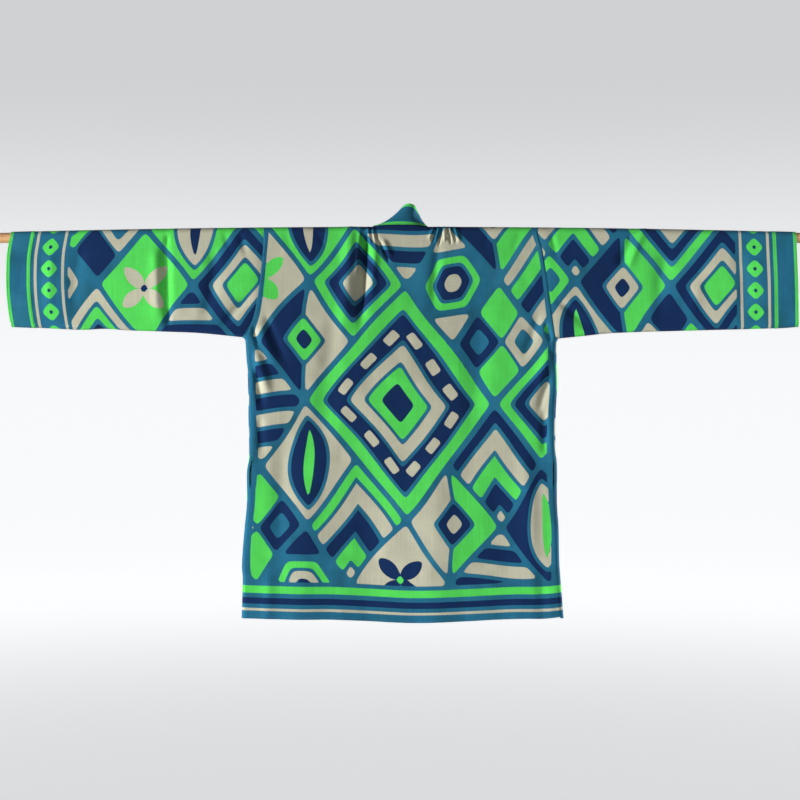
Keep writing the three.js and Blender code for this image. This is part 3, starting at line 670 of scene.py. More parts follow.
@dataclass(frozen=True)
class Lattice:
    """A lattice of lozenges with ground left between them, each filled with a motif.

    Attributes:
        width, height: The size of one lozenge.
        u, v: The centre of the lozenge in row 0 and column 0.
        channel: The ground left between two lozenges.
        rows: For each half row, from the top down, the motifs from column 0 to the right.
        sway: How far the hand-drawn lines stray.
    """

    width: float
    height: float
    u: float
    v: float
    rows: tuple[tuple[Motif, ...], ...]
    channel: float = 10.0
    sway: float = 6.0

    LEAN = 1.3
    INKS = (
        (Ink.GREEN, Ink.NAVY, Ink.ECRU),
        (Ink.ECRU, Ink.GREEN, Ink.NAVY),
        (Ink.NAVY, Ink.ECRU, Ink.GREEN),
        (Ink.GREEN, Ink.ECRU, Ink.NAVY),
        (Ink.NAVY, Ink.GREEN, Ink.ECRU),
    )

    def strayed(self, u: Array, v: Array) -> tuple[Array, Array]:
        """Returns the points moved a little, so that straight lines look drawn by hand."""
        return (
            u + self.sway * np.sin(v / 61 + u / 140) + 0.4 * self.sway * np.sin(v / 23 + 1.3),
            v + self.sway * np.sin(u / 67 + v / 170 + 2) + 0.4 * self.sway * np.sin(u / 27),
        )

    def draw(self, print_: Print) -> None:
        """Lays the whole lattice on the print."""
        u, v = self.strayed(print_.u, print_.v)
        between = self.channel * self.LEAN
        half = (self.width - between) / 2, (self.height - between) / 2
        for r, row in enumerate(self.rows):
            shift = self.width / 2 if r % 2 else 0.0
            for c, motif in enumerate(row):
                inks = self.INKS[(2 * r + 3 * c) % len(self.INKS)]
                local_u = u - (self.u + shift + c * self.width)
                local_v = v - (self.v - r * self.height / 2)
                MOTIF_DRAWERS[motif](print_, local_u, local_v, half, inks)


def draw_nested(print_: Print, u: Array, v: Array, half: Half, inks: Sequence[Ink]) -> None:
    """Lays lozenges inside each other."""
    rings = (inks[0], 0), (Ink.GROUND, 14), (inks[1], 20), (Ink.GROUND, 33), (inks[2], 39)
    print_.nest(lozenge(u, v, *half), rings)


def draw_halves(print_: Print, u: Array, v: Array, half: Half, inks: Sequence[Ink]) -> None:
    """Lays a lozenge split down its middle, with a small lozenge on the split."""
    inside = lozenge(u, v, *half)
    print_.lay(inks[0], within([inside, -u - 3.5]))
    print_.lay(inks[1], within([inside, u - 3.5]))
    heart = lozenge(u, v, half[0] * 0.4, half[1] * 0.4)
    print_.nest(heart, ((Ink.GROUND, -6), (inks[2], 0), (inks[0], 12)))


def draw_bars(print_: Print, u: Array, v: Array, half: Half, inks: Sequence[Ink]) -> None:
    """Lays level bars across a lozenge."""
    inside = lozenge(u, v, *half)
    pitch, half_bar = 28.0, 10.5
    count = int(half[1] // pitch) + 1
    for i in range(-count, count + 1):
        bar = half_bar - np.abs(v - i * pitch)
        print_.lay(inks[0] if i % 2 else inks[2], within([inside, bar], 2.0))


def draw_leaf(print_: Print, u: Array, v: Array, half: Half, inks: Sequence[Ink]) -> None:
    """Lays a lozenge with a leaf and its rib on it."""
    print_.lay(inks[0], lozenge(u, v, *half))
    print_.nest(leaf(u, v, half[0] * 0.4, half[1] * 0.74), ((Ink.GROUND, -6), (inks[2], 0)))
    print_.lay(inks[1], leaf(u, v, half[0] * 0.12, half[1] * 0.6))


def draw_quarters(print_: Print, u: Array, v: Array, half: Half, inks: Sequence[Ink]) -> None:
    """Lays four small lozenges."""
    small = half[0] / 2 - 3.5, half[1] / 2 - 3.5
    for du, dv, ink in ((0, 1, 0), (1, 0, 1), (0, -1, 0), (-1, 0, 2)):
        part = lozenge(u - du * half[0] / 2, v - dv * half[1] / 2, *small)
        print_.lay(inks[ink], part)
        if du:
            print_.lay(Ink.GROUND, part - 13)


def draw_kikko(print_: Print, u: Array, v: Array, half: Half, inks: Sequence[Ink]) -> None:
    """Lays hexagons inside each other, with a cap above and below."""
    size = min(half) * 0.66
    print_.lay(inks[1], within([lozenge(u, v, *half), np.abs(v) - size - 5.0]))
    print_.nest(hexagon(u, v, size), ((inks[0], 0), (Ink.GROUND, 11), (inks[2], 16.5), (inks[1], 29)))


def draw_petals(print_: Print, u: Array, v: Array, half: Half, inks: Sequence[Ink]) -> None:
    """Lays four petals in a cross on a lozenge."""
    print_.lay(inks[1], lozenge(u, v, *half))
    reach = min(half) * 0.42
    for turn in (45, 135):
        a, b = turned(u, v, turn)
        for side in (-1, 1):
            print_.lay(inks[2], leaf(a, b - side * reach * 0.8, reach * 0.38, reach * 0.8))
    print_.lay(inks[0], lozenge(u, v, 9, 10))


def draw_chevrons(print_: Print, u: Array, v: Array, half: Half, inks: Sequence[Ink]) -> None:
    """Lays chevrons, one under the other, in a lozenge."""
    inside = lozenge(u, v, *half)
    slope = half[1] / half[0]
    steep = math.hypot(1, slope)
    for i in range(5):
        top = half[1] - 6 - i * 47
        bar = 11 - np.abs(v + slope * np.abs(u) - top) / steep
        print_.lay(inks[i % 3], within([inside, bar], 2.0))


DRAWERS = (
    *(draw_nested, draw_halves, draw_bars, draw_leaf),
    *(draw_quarters, draw_kikko, draw_petals, draw_chevrons),
)
MOTIF_DRAWERS: dict[Motif, Callable] = dict(zip(Motif, DRAWERS))
N, H, B, L, Q, K, P, C = Motif
BODY_LATTICE = Lattice(
    width=168,
    height=212,
    u=-336,
    v=18,
    rows=(
        (K, L, B, H, N),
        (P, N, K, C, B),
        (N, H, N, Q, L),
        (B, N, N, N, K),
        (K, L, N, C, P),
        (Q, C, H, L, N),
        (N, K, P, B, H),
        (L, B, N, K, C),
    ),
)
SLEEVE_LATTICE = Lattice(
    width=168,
    height=212,
    u=-700,
    v=230,
    rows=(
        (N, L, K, H, N, Q, B, L, N),
        (K, H, C, N, L, P, N, K, H),
        (B, Q, L, N, K, H, C, N, Q),
        (K, P, N, L, N, Q, H, N, C),
        (L, N, B, H, K, N, L, Q, N),
    ),
)


@dataclass(frozen=True)
class Medallion:
    """A large lozenge of nested bands, one of them in blocks, in the place of four of the lattice's.

    Attributes:
        u, v: Its centre.
        half_width, half_height: Its size.
        bands: For each band from the outside in, its ink and how far inside the edge it starts.
        blocks_from, blocks_to: Where the band of blocks starts and ends.
        block: How long a block is.
    """

    u: float = 0.0
    v: float = -300.0
    half_width: float = 161.0
    half_height: float = 203.0
    bands: tuple[tuple[Ink, float], ...] = (
        *((Ink.GREEN, 0), (Ink.GROUND, 19), (Ink.NAVY, 25), (Ink.GROUND, 53)),
        *((Ink.ECRU, 59), (Ink.GROUND, 78), (Ink.GREEN, 84), (Ink.NAVY, 103)),
    )
    blocks_from: float = 31.0
    blocks_to: float = 47.0
    block: float = 29.0

    def draw(self, print_: Print) -> None:
        """Lays the medallion on the print."""
        u, v = BODY_LATTICE.strayed(print_.u, print_.v)
        u, v = u - self.u, v - self.v
        inside = lozenge(u, v, self.half_width, self.half_height)
        print_.nest(inside, self.bands)
        length = math.hypot(self.half_width, self.half_height)
        along = (np.abs(u) * self.half_width - np.abs(v) * self.half_height) / length
        middle = (self.half_width**2 - self.half_height**2) / (2 * length)
        depth = (self.blocks_from + self.blocks_to) / 2 * length / (self.half_width * self.half_height)
        along = np.abs(np.mod(along - middle * (1 - depth) + self.block, 2 * self.block) - self.block)
        band = [inside - self.blocks_from, self.blocks_to - inside, self.block / 2 - along]
        print_.lay(Ink.ECRU, within(band, 1.5))


@dataclass(frozen=True)
class HemBorder:
    """Level stripes along the hem, above a strip of bare ground.

    Attributes:
        ground_from: Where the lattice ends.
        stripes: For each stripe its ink, its middle above the hem and its width.
    """

    ground_from: float = 66.0
    stripes: tuple[tuple[Ink, float, float], ...] = (
        (Ink.GREEN, 52.0, 13.0),
        (Ink.NAVY, 32.0, 11.0),
        (Ink.ECRU, 17.0, 5.0),
    )

    def draw(self, print_: Print, above_hem: Array) -> None:
        """Lays the border.

        Args:
            print_: The print to lay it on.
            above_hem: How far each point lies above the hem.
        """
        print_.lay(Ink.GROUND, self.ground_from - above_hem)
        for ink, middle, width in self.stripes:
            print_.lay(ink, width / 2 - np.abs(above_hem - middle))


@dataclass(frozen=True)
class CuffBorder:
    """A column of small lozenges between two lines, beside the cuff's band.

    Attributes:
        width: How much ground the border takes.
        lines: How far from the band each line lies.
        line: The width of a line.
        pitch: From one lozenge to the next.
        outer, heart: Half the width and height of a lozenge and of its heart.
    """

    width: float = 66.0
    lines: tuple[float, float] = (9.0, 57.0)
    line: float = 5.0
    pitch: float = 38.0
    outer: Half = (17, 18)
    heart: Half = (7, 7.5)

    def draw(self, print_: Print, from_band: Array) -> None:
        """Lays the border.

        Args:
            print_: The print to lay it on.
            from_band: How far each point lies from the cuff's band.
        """
        print_.lay(Ink.GROUND, self.width - from_band)
        for middle in self.lines:
            print_.lay(Ink.ECRU, self.line / 2 - np.abs(from_band - middle))
        along = np.mod(print_.v, self.pitch) - self.pitch / 2
        across = from_band - sum(self.lines) / 2
        print_.lay(Ink.GREEN, lozenge(across, along, *self.outer))
        print_.lay(Ink.NAVY, lozenge(across, along, *self.heart))


SIDE_MARGIN = 9.0
MARGIN_SWAY = 1.5


def body_inks(u: Array, v: Array, above_hem: Array, from_side: Array, has_medallion: bool) -> Array:
    """Returns the ink distances of the back or a front.

    Args:
        u: Each point's place across the cloth.
        v: Each point's place up the cloth.
        above_hem: How far each point lies above the hem.
        from_side: How far each point lies from the panel's side.
        has_medallion: Whether the print has its large lozenge.
    """
    print_ = Print(u, v)
    BODY_LATTICE.draw(print_)
    if has_medallion:
        Medallion().draw(print_)
    print_.lay(Ink.GROUND, SIDE_MARGIN + MARGIN_SWAY * np.sin(v / 37) - from_side)
    HemBorder().draw(print_, above_hem)
    return print_.field()


def sleeve_inks(u: Array, v: Array, from_band: Array) -> Array:
    """Returns the ink distances of a sleeve."""
    print_ = Print(u, v)
    SLEEVE_LATTICE.draw(print_)
    CuffBorder().draw(print_, from_band)
    return print_.field()


def band_inks(across: Array, width: float, stripe: float = 6.0) -> Array:
    """Returns the ink distances of a plain band with a green stripe on both edges."""
    print_ = Print(across, across)
    print_.lay(Ink.GREEN, stripe - across)
    print_.lay(Ink.GREEN, stripe - (width - across))
    return print_.field()


def srgb(red: float, green: float, blue: float) -> Colour:
    """Returns a display colour of 0 to 255 as a linear one with full alpha."""

    def linear(value: float) -> float:
        share = value / 255
        return share / 12.92 if share <= 0.04045 else ((share + 0.055) / 1.055) ** 2.4

    return (linear(red), linear(green), linear(blue), 1.0)


class Tree:
    """A short way to add and join shader nodes."""

    def __init__(self, name: str) -> None:
        """Makes an empty material of that name."""
        self.material = bpy.data.materials.new(name)
        self.material.use_nodes = True
        self.nodes = self.material.node_tree.nodes
        self.links = self.material.node_tree.links
        self.nodes.clear()

    def add(
        self, kind: str, inputs: dict[str | int, object] | None = None, **settings: object
    ) -> bpy.types.Node:
        """Adds a node.

        Args:
            kind: The node's type.
            inputs: A value or an output socket for each named or numbered input.
            settings: The node's own settings.

        Returns:
            The node.
        """
        node = self.nodes.new(kind)
        for key, value in settings.items():
            setattr(node, key, value)
        for key, value in (inputs or {}).items():
            if isinstance(value, Socket):
                self.links.new(value, node.inputs[key])
            else:
                node.inputs[key].default_value = value
        return node

    def math(self, operation: str, first: object, second: object = 0.0, clamp: bool = False) -> Socket:
        """Adds a sum and returns its result."""
        inputs = {0: first, 1: second}
        return self.add("ShaderNodeMath", inputs, operation=operation, use_clamp=clamp).outputs[0]

    def scaled_sum(self, value: object, gain: float, offset: float, clamp: bool = False) -> Socket:
        """Adds a gain and then an offset, and returns the result."""
        return self.math("ADD", self.math("MULTIPLY", value, gain), offset, clamp)

    def mix(self, share: object, first: object, second: object) -> Socket:
        """Adds a colour mix and returns its result."""
        return self.add("ShaderNodeMix", {0: share, 6: first, 7: second}, data_type="RGBA").outputs[2]

    def toned(self, colour: object, gain: object) -> Socket:
        """Adds a gain on a colour's brightness and returns the colour."""
        return self.add("ShaderNodeHueSaturation", {"Value": gain, "Color": colour}).outputs[0]

    def scaled(self, vector: object, scale: tuple[float, float, float]) -> Socket:
        """Adds a mapping that scales a vector and returns it."""
        return self.add("ShaderNodeMapping", {"Vector": vector, "Scale": scale}).outputs[0]

    def noise(self, vector: object, scale: float, detail: float = 2.0) -> Socket:
        """Adds a noise and returns its value."""
        inputs = {"Vector": vector, "Scale": scale, "Detail": detail}
        return self.add("ShaderNodeTexNoise", inputs).outputs[0]

    def wander(self, vector: object, scale: float, detail: float) -> Socket:
        """Adds a noise that goes to both sides of 0 and returns its value."""
        return self.math("SUBTRACT", self.noise(vector, scale, detail), 0.5)

    def patches(self, value: object, start: float, gain: float) -> Socket:
        """Returns the share of a patch where a noise is above its start."""
        return self.math("MULTIPLY", self.math("SUBTRACT", value, start), gain, clamp=True)

    def surface(self, inputs: dict[str | int, object]) -> bpy.types.Material:
        """Ends the material in a surface with those inputs and returns it."""
        shader = self.add("ShaderNodeBsdfPrincipled", inputs)
        self.add("ShaderNodeOutputMaterial", {0: shader.outputs[0]})
        return self.material


@dataclass(frozen=True)
class ClothFinish:
    """A matte, slubby plain-weave cloth printed in flat inks.

    Attributes:
        name: The material's name.
        ground, washed, worn: The dyed ground, its greener, duller patches and its paler ones.
        green, navy, ecru: The printed inks.
        faded: How far the reverse is washed out towards the bare cloth.
        bleed, ink_edge: How far the inks' edges stray, in millimetres, and how crisp they are.
        wear: How pale the worn patches get.
        slub, broad: How much single threads and whole areas vary in tone.
        weft, blotch: The weft's share of the slubs and the small blotches' share of the areas.
        slub_height, thread_height: How high slubs and crossing threads stand.
        thread_pitch: From one thread to the next on the same side, in metres.
    """

    name: str
    ground: Colour = srgb(34, 106, 138)
    washed: Colour = srgb(28, 88, 104)
    worn: Colour = srgb(56, 142, 168)
    green: Colour = srgb(86, 218, 90)
    navy: Colour = srgb(12, 42, 86)
    ecru: Colour = srgb(192, 191, 168)
    faded: float = 0.0
    bleed: float = 0.9
    ink_edge: float = 1.9
    wear: float = 0.6
    slub: float = 0.32
    broad: float = 0.3
    weft: float = 0.4
    blotch: float = 0.6
    slub_height: float = 0.55
    thread_height: float = 0.24
    thread_pitch: float = 0.0012

    def material(self) -> bpy.types.Material:
        """Returns the finish as a material that reads the cloth map and the ink attribute."""
        tree = Tree(self.name)
        cloth = tree.add("ShaderNodeUVMap", uv_map="cloth").outputs[0]
        colour = self._inked(tree, cloth)
        weft = tree.wander(tree.scaled(cloth, (16, 620, 1)), 1.0, 2.0)
        warp = tree.wander(tree.scaled(cloth, (640, 14, 1)), 1.0, 2.0)
        slubs = tree.math("ADD", tree.math("MULTIPLY", weft, self.weft), warp)
        blotches = tree.math("MULTIPLY", tree.wander(cloth, 42, 3), self.blotch)
        areas = tree.math("ADD", tree.wander(cloth, 11, 4), blotches)
        slub, broad = tree.math("MULTIPLY", slubs, self.slub), tree.math("MULTIPLY", areas, self.broad)
        tone = tree.math("ADD", slub, broad)
        threads = tree.math("MULTIPLY", self._threads(tree, cloth), self.thread_height)
        height = tree.math("ADD", tree.math("MULTIPLY", slubs, self.slub_height), threads)
        bump = tree.add("ShaderNodeBump", {"Strength": 0.55, "Distance": 0.00035, "Height": height})
        return tree.surface(
            {
                "Base Color": tree.toned(colour, tree.math("ADD", tone, 1.0)),
                "Roughness": 0.88,
                "Specular IOR Level": 0.1,
                "Sheen Weight": 0.06,
                "Sheen Roughness": 0.45,
                "Normal": bump.outputs[0],
            }
        )

    def _inked(self, tree: Tree, cloth: Socket) -> Socket:
        """Returns the colour of the dyed ground with the inks on it."""
        inks = tree.add("ShaderNodeAttribute", attribute_name="inks").outputs["Vector"]
        parts = tree.add("ShaderNodeSeparateXYZ", {0: inks})
        stray = tree.math("MULTIPLY", tree.wander(cloth, 520, 3), self.bleed)
        washed = tree.patches(tree.noise(cloth, 17, 3), 0.47, 2.6)
        worn = tree.math("MULTIPLY", tree.patches(tree.noise(cloth, 7, 3), 0.5, 3.4), self.wear)
        colour = tree.mix(worn, tree.mix(washed, self.ground, self.washed), self.worn)
        for channel, ink in enumerate((self.green, self.navy, self.ecru)):
            edge = tree.math("ADD", parts.outputs[channel], stray)
            colour = tree.mix(tree.scaled_sum(edge, self.ink_edge, 0.5, clamp=True), colour, ink)
        return tree.mix(self.faded, colour, self.ecru) if self.faded else colour

    def _threads(self, tree: Tree, cloth: Socket) -> Socket:
        """Returns the height of a plain weave."""
        parts = tree.add("ShaderNodeSeparateXYZ", {0: cloth})
        turn = 2 * math.pi / self.thread_pitch
        across, along = (tree.math("SINE", tree.math("MULTIPLY", parts.outputs[i], turn)) for i in (0, 1))
        return tree.math("MULTIPLY", across, along)


@dataclass(frozen=True)
class ThreadFinish:
    """Sewing thread: a slightly glossy twist."""

    name: str = "sewing_thread"
    colour: Colour = srgb(30, 96, 124)

    def material(self) -> bpy.types.Material:
        """Returns the finish as a material."""
        tree = Tree(self.name)
        twist = tree.noise(tree.add("ShaderNodeTexCoord").outputs["Object"], 2600, 2)
        lit = tree.toned(self.colour, tree.scaled_sum(twist, 0.5, 0.75))
        return tree.surface({"Base Color": lit, "Roughness": 0.6, "Sheen Weight": 0.3})


@dataclass(frozen=True)
class WoodFinish:
    """Pale, sanded pine with grain along the rod."""

    name: str = "pine"
    pale: Colour = srgb(228, 180, 128)
    dark: Colour = srgb(186, 128, 78)

    def material(self) -> bpy.types.Material:
        """Returns the finish as a material."""
        tree = Tree(self.name)
        place = tree.add("ShaderNodeTexCoord").outputs["Object"]
        warp = tree.noise(tree.scaled(place, (3, 60, 60)), 1.0, 3)
        bent = tree.add("ShaderNodeVectorMath", {0: place, 1: warp}, operation="ADD").outputs[0]
        rings = tree.noise(tree.scaled(bent, (1.6, 260, 260)), 1.0, 4)
        pores = tree.noise(tree.scaled(place, (60, 1500, 1500)), 1.0, 2)
        colour = tree.mix(tree.patches(rings, 0.34, 3.0), self.pale, self.dark)
        bump = tree.add("ShaderNodeBump", {"Strength": 0.3, "Distance": 0.0003, "Height": pores})
        return tree.surface(
            {
                "Base Color": tree.toned(colour, tree.scaled_sum(pores, 0.34, 0.83)),
                "Roughness": tree.scaled_sum(rings, 0.18, 0.46),
                "Normal": bump.outputs[0],
            }
        )


@dataclass(frozen=True)
class PaperFinish:
    """Plain pale studio paper that glows with painted light, most of all far off and low down, with painted
    shade under the garment.

    Attributes:
        name: The material's name.
        colour: The paper's colour.
        low_glow, high_glow: How much painted light it gives off low down and high up.
        low, high: The heights between which that changes, in metres.
        near_share: The share of the glow that is left under the garment, as painted shade.
        near, far: How far from the garment that share starts to rise, and where it is whole.
    """

    name: str = "studio_paper_painted_glow"
    colour: Colour = srgb(238, 239, 241)
    low_glow: float = 1.02
    high_glow: float = 0.66
    low: float = -0.2
    high: float = 1.7
    near_share: float = 0.7
    near: float = 1.0
    far: float = 4.2

    def material(self) -> bpy.types.Material:
        """Returns the finish as a material."""
        tree = Tree(self.name)
        place = tree.add("ShaderNodeTexCoord").outputs["Object"]
        height = tree.add("ShaderNodeSeparateXYZ", {0: place}).outputs[2]
        away = tree.add("ShaderNodeVectorMath", {0: place}, operation="LENGTH").outputs["Value"]
        by_height, by_distance = (
            tree.add(
                "ShaderNodeMapRange",
                {"Value": value, 1: start, 2: end, 3: at_start, 4: at_end},
                interpolation_type="SMOOTHSTEP",
            ).outputs[0]
            for value, start, end, at_start, at_end in (
                (height, self.low, self.high, self.low_glow, self.high_glow),
                (away, self.near, self.far, self.near_share, 1.0),
            )
        )
        # The emission is painted light: brighter low down and far off, dimmer high up, and dimmer near the
        # garment as painted shade.
        return tree.surface(
            {
                "Base Color": self.colour,
                "Roughness": 0.95,
                "Emission Color": self.colour,
                "Emission Strength": tree.math("MULTIPLY", by_height, by_distance),
            }
        )


@dataclass
class ClothWall:
    """Turns a sheet into a thin closed wall of cloth, right side out.

    Attributes:
        name: The piece's name.
        sheet: The wall's outer points.
        inks: The ink distances of the outer points, in millimetres.
        thickness: The wall's thickness in millimetres.
        right_side, reverse: The materials of its two sides.
    """

    name: str
    sheet: Sheet
    inks: Array
    thickness: float
    right_side: bpy.types.Material
    reverse: bpy.types.Material

    def build(self) -> bpy.types.Object:
        """Returns the wall as an object with the cloth map and the ink attribute on it."""
        rows, columns = self.sheet.points.shape[:2]
        own = columns - 1 if self.sheet.loops else columns
        number = np.arange(rows)[:, None] * own + (np.arange(columns) % own)[None, :]
        outer = self.sheet.points[:, :own].reshape(-1, 3)
        normal = self.sheet.normals()[:, :own].reshape(-1, 3)
        inner = outer - normal * self.thickness
        used = ~np.isnan(outer[:, 0])
        compact = np.cumsum(used) - 1
        count = int(used.sum())
        vertices = np.concatenate([outer[used], inner[used]]) * MM
        flat = self.sheet.cloth
        cells = self.sheet.cells()
        r, c = np.nonzero(cells)
        corners = [(r, c), (r + 1, c), (r + 1, c + 1), (r, c + 1)]
        quads = np.stack([compact[number[i, j]] for i, j in corners], axis=1)
        places = np.stack([flat[i, j] for i, j in corners], axis=1)
        inks = np.stack([self.inks[i, j] for i, j in corners], axis=1)
        rim_quads, rim_places, rim_inks = self._rims(cells, compact, number, count)
        faces = np.concatenate([quads, quads[:, ::-1] + count, rim_quads])
        uv = np.concatenate([places, places[:, ::-1], rim_places]).reshape(-1, 2)
        ink = np.concatenate([inks, inks[:, ::-1], rim_inks]).reshape(-1, 3)
        mesh = bpy.data.meshes.new(self.name)
        mesh.from_pydata(vertices.tolist(), [], faces.tolist())
        mesh.materials.append(self.right_side)
        mesh.materials.append(self.reverse)
        side = np.zeros(len(faces), np.int32)
        side[len(quads) : 2 * len(quads)] = 1
        mesh.polygons.foreach_set("material_index", side)
        mesh.polygons.foreach_set("use_smooth", np.ones(len(faces), bool))
        layer = mesh.uv_layers.new(name="cloth")
        layer.data.foreach_set("uv", (uv * MM).ravel().astype(np.float32))
        attribute = mesh.attributes.new("inks", "FLOAT_VECTOR", "CORNER")
        attribute.data.foreach_set("vector", ink.ravel().astype(np.float32))
        self._sharpen(mesh, len(quads))
        mesh.update()
        piece = bpy.data.objects.new(self.name, mesh)
        bpy.context.scene.collection.objects.link(piece)
        return piece

    def _rims(self, cells: Array, compact: Array, number: Array, count: int) -> tuple[Array, Array, Array]:
        """Returns the faces that close the wall's edges, with their places and inks."""
        looped = self.sheet.loops
        padded = np.pad(cells, 1)
        if looped:
            padded[:, 0], padded[:, -1] = padded[:, -2], padded[:, 1]
        sides = (
            ((0, 0), (1, 0), (0, -1)),
            ((1, 0), (1, 1), (1, 0)),
            ((1, 1), (0, 1), (0, 1)),
            ((0, 1), (0, 0), (-1, 0)),
        )
        quads, places, inks = [], [], []
        height, width = cells.shape
        for start, end, (down, right) in sides:
            next_cells = padded[1 + down : 1 + down + height, 1 + right : 1 + right + width]
            r, c = np.nonzero(cells & ~next_cells)
            a = (r + start[0], c + start[1])
            b = (r + end[0], c + end[1])
            va, vb = compact[number[a]], compact[number[b]]
            quads.append(np.stack([va, va + count, vb + count, vb], axis=1))
            for found, source in ((places, self.sheet.cloth), (inks, self.inks)):
                found.append(np.stack([source[a], source[a], source[b], source[b]], axis=1))
        return np.concatenate(quads), np.concatenate(places), np.concatenate(inks)

    @staticmethod
    def _sharpen(mesh: bpy.types.Mesh, sheet_faces: int) -> None:
        """Marks the rim's edges sharp, so that the wall's two sides shade smoothly on their own."""
        totals = np.zeros(len(mesh.edges), np.int32)
        edges = np.empty(len(mesh.loops), np.int32)
        mesh.loops.foreach_get("edge_index", edges)
        corners_of_both_sides = 2 * sheet_faces * 4
        np.add.at(totals, edges[corners_of_both_sides:], 1)
        mesh.edges.foreach_set("use_edge_sharp", totals > 0)


@dataclass
class Finishes:
    """The materials, made once and shared."""

    printed: bpy.types.Material = field(default_factory=ClothFinish("printed_cloth").material)
    reverse: bpy.types.Material = field(
        default_factory=ClothFinish("printed_cloth_reverse", faded=0.3).material
    )
    thread: bpy.types.Material = field(default_factory=ThreadFinish().material)
    wood: bpy.types.Material = field(default_factory=WoodFinish().material)
    paper: bpy.types.Material = field(default_factory=PaperFinish().material)


BODY_ROWS = 118
FAN_STEPS = 5


def side_stations(half: HalfOutline, inset: float) -> Array:
    """Returns the side of a body panel from the rod down, as rows of x and z.

    Args:
        half: The half of the garment.
        inset: How far inside the outline the panel's side lies below the arm.
    """
    rows = []
    end_z = half.mitre(SIZE.half_depth)[1]
    for z in graded(0.0, ((-60, 1.7), (end_z, 4.0))):
        x = float(half.armhole(z))
        rows.append((x - half.sign * SIZE.half_seam, z + float(rod_z(x)) * (1 - z / end_z)))
    reach = SIZE.underarm_round + inset
    for i in range(0 if inset < SIZE.half_depth else 1, FAN_STEPS + 1):
        angle = SIZE.underarm_mitre * (1 - i / FAN_STEPS)
        x = half.centre_x - half.sign * reach * math.cos(angle)
        rows.append((x, half.centre_z + reach * math.sin(angle)))
    for z in np.linspace(half.centre_z, -680, BODY_ROWS + 1)[1:-1]:
        rows.append((float(half.body_side(z)) - half.sign * inset, z))
    end_x = float(half.body_side(HEM_Z(half.centre_x))) - half.sign * inset
    rows.append((end_x, float(HEM_Z(end_x))))
    return np.array(rows)


def drop_share(z: Array, x: Array) -> Array:
    """Returns how far down from the rod to the hem a point lies, from 0 to 1."""
    return (rod_z(x) - z) / (rod_z(x) - HEM_Z(x))


def slit_opening(z: Array) -> Array:
    """Returns how far each side seam gapes at a height."""
    middle = (SIZE.slit_top + SIZE.slit_bottom) / 2
    half = (SIZE.slit_top - SIZE.slit_bottom) / 2
    reach = np.clip((z - middle) / half, -1, 1)
    return SIZE.slit_width * np.sqrt(1 - reach**2)


@dataclass(frozen=True)
class NeckTable:
    """The neckband's seam and free edge, from the left front over the back of the neck to the right.

    The rows of each column belong together.
    """

    seam_x: tuple[float, ...] = (
        *(-51.5, -51.5, -51.5, -50.6, -43, -33, -20, -4),
        *(12, 26, 36, 43.6, 44.5, 44.5, 44.5),
    )
    seam_y: tuple[float, ...] = (
        *(11.0, 11.6, 9.2, 2.6, -3, -5.4, -6.4, -6.6),
        *(-6.4, -5.4, -3, 2.6, 9.2, 11.6, 11.0),
    )
    seam_z: tuple[float, ...] = (
        *(-30, -3, 7.4, 11.9, 12.4, 13, 13.4, 13.6),
        *(13.4, 12.9, 12.2, 11.9, 7.4, -3, -30),
    )
    edge_x: tuple[float, ...] = (
        *(-9.2, -10.5, -12.5, -13.6, -10.5, -4, 3.5, 13),
        *(22.5, 26.5, 31.5, 33, 20, 6, 2.2),
    )
    edge_y: tuple[float, ...] = (
        *(11.6, 13.4, 15.6, 16, 13.6, 9, 3, -0.5),
        *(2, 12, 19, 22, 20, 14.5, 11.6),
    )
    edge_z: tuple[float, ...] = (
        *(-34, -10, 3, 16, 28.5, 39.5, 48, 51.2),
        *(47.5, 40.5, 31, 22.5, 12, -6, -34),
    )

    RIDGE_Y = 0.12
    SEAM_STARTS = 11.5

    def column(self, name: str, step: Array) -> Array:
        """Returns a column's value at each step, counted in rows."""
        values = getattr(self, name)
        return Curve(range(len(values)), values)(step)

    def back_top(self, x: Array) -> tuple[Array, Array]:
        """Returns the y and z of the back panel's top edge: the ridge, or the neck's seam."""
        rows = [i for i, z in enumerate(self.seam_z) if z > self.SEAM_STARTS]
        xs = [self.seam_x[i] for i in rows]
        y = np.maximum(-Curve(xs, [self.seam_y[i] for i in rows])(x), 0) + 0.35
        z = np.maximum(Curve(xs, [self.seam_z[i] for i in rows])(x) - 0.3, SIZE.over_rod)
        inside = (x > xs[0]) & (x < xs[-1])
        return np.where(inside, y, self.RIDGE_Y), np.where(inside, z, SIZE.over_rod)


NECK = NeckTable()


@dataclass(frozen=True)
class SewnRelief:
    """How sewing shapes a panel's surface.

    Attributes:
        lap, lap_run: How far the body's cloth stands proud beside the armhole, and over what run.
        groove, groove_run: How deep it dips in the seam itself, and over what run.
        dip, dip_run: How deep the hem's stitching sinks, and over what run.
    """

    lap: float = 0.7
    lap_run: float = 4.5
    groove: float = 1.0
    groove_run: float = 1.5
    dip: float = 0.35
    dip_run: float = 1.8

    def beside_armhole(self, to_seam: Array) -> Array:
        """Returns the rise at each distance from the armhole's seam."""
        lap = self.lap * np.exp(-((to_seam / self.lap_run) ** 2))
        return lap - self.groove * np.exp(-((to_seam / self.groove_run) ** 2))

    def at_hem(self, x: Array, z: Array) -> Array:
        """Returns how deep each point lies in the dip of the hem's stitching."""
        off = z - HEM_Z(x) - SIZE.hem_stitch
        return self.dip * np.exp(-((off / self.dip_run) ** 2))


SEWN = SewnRelief()


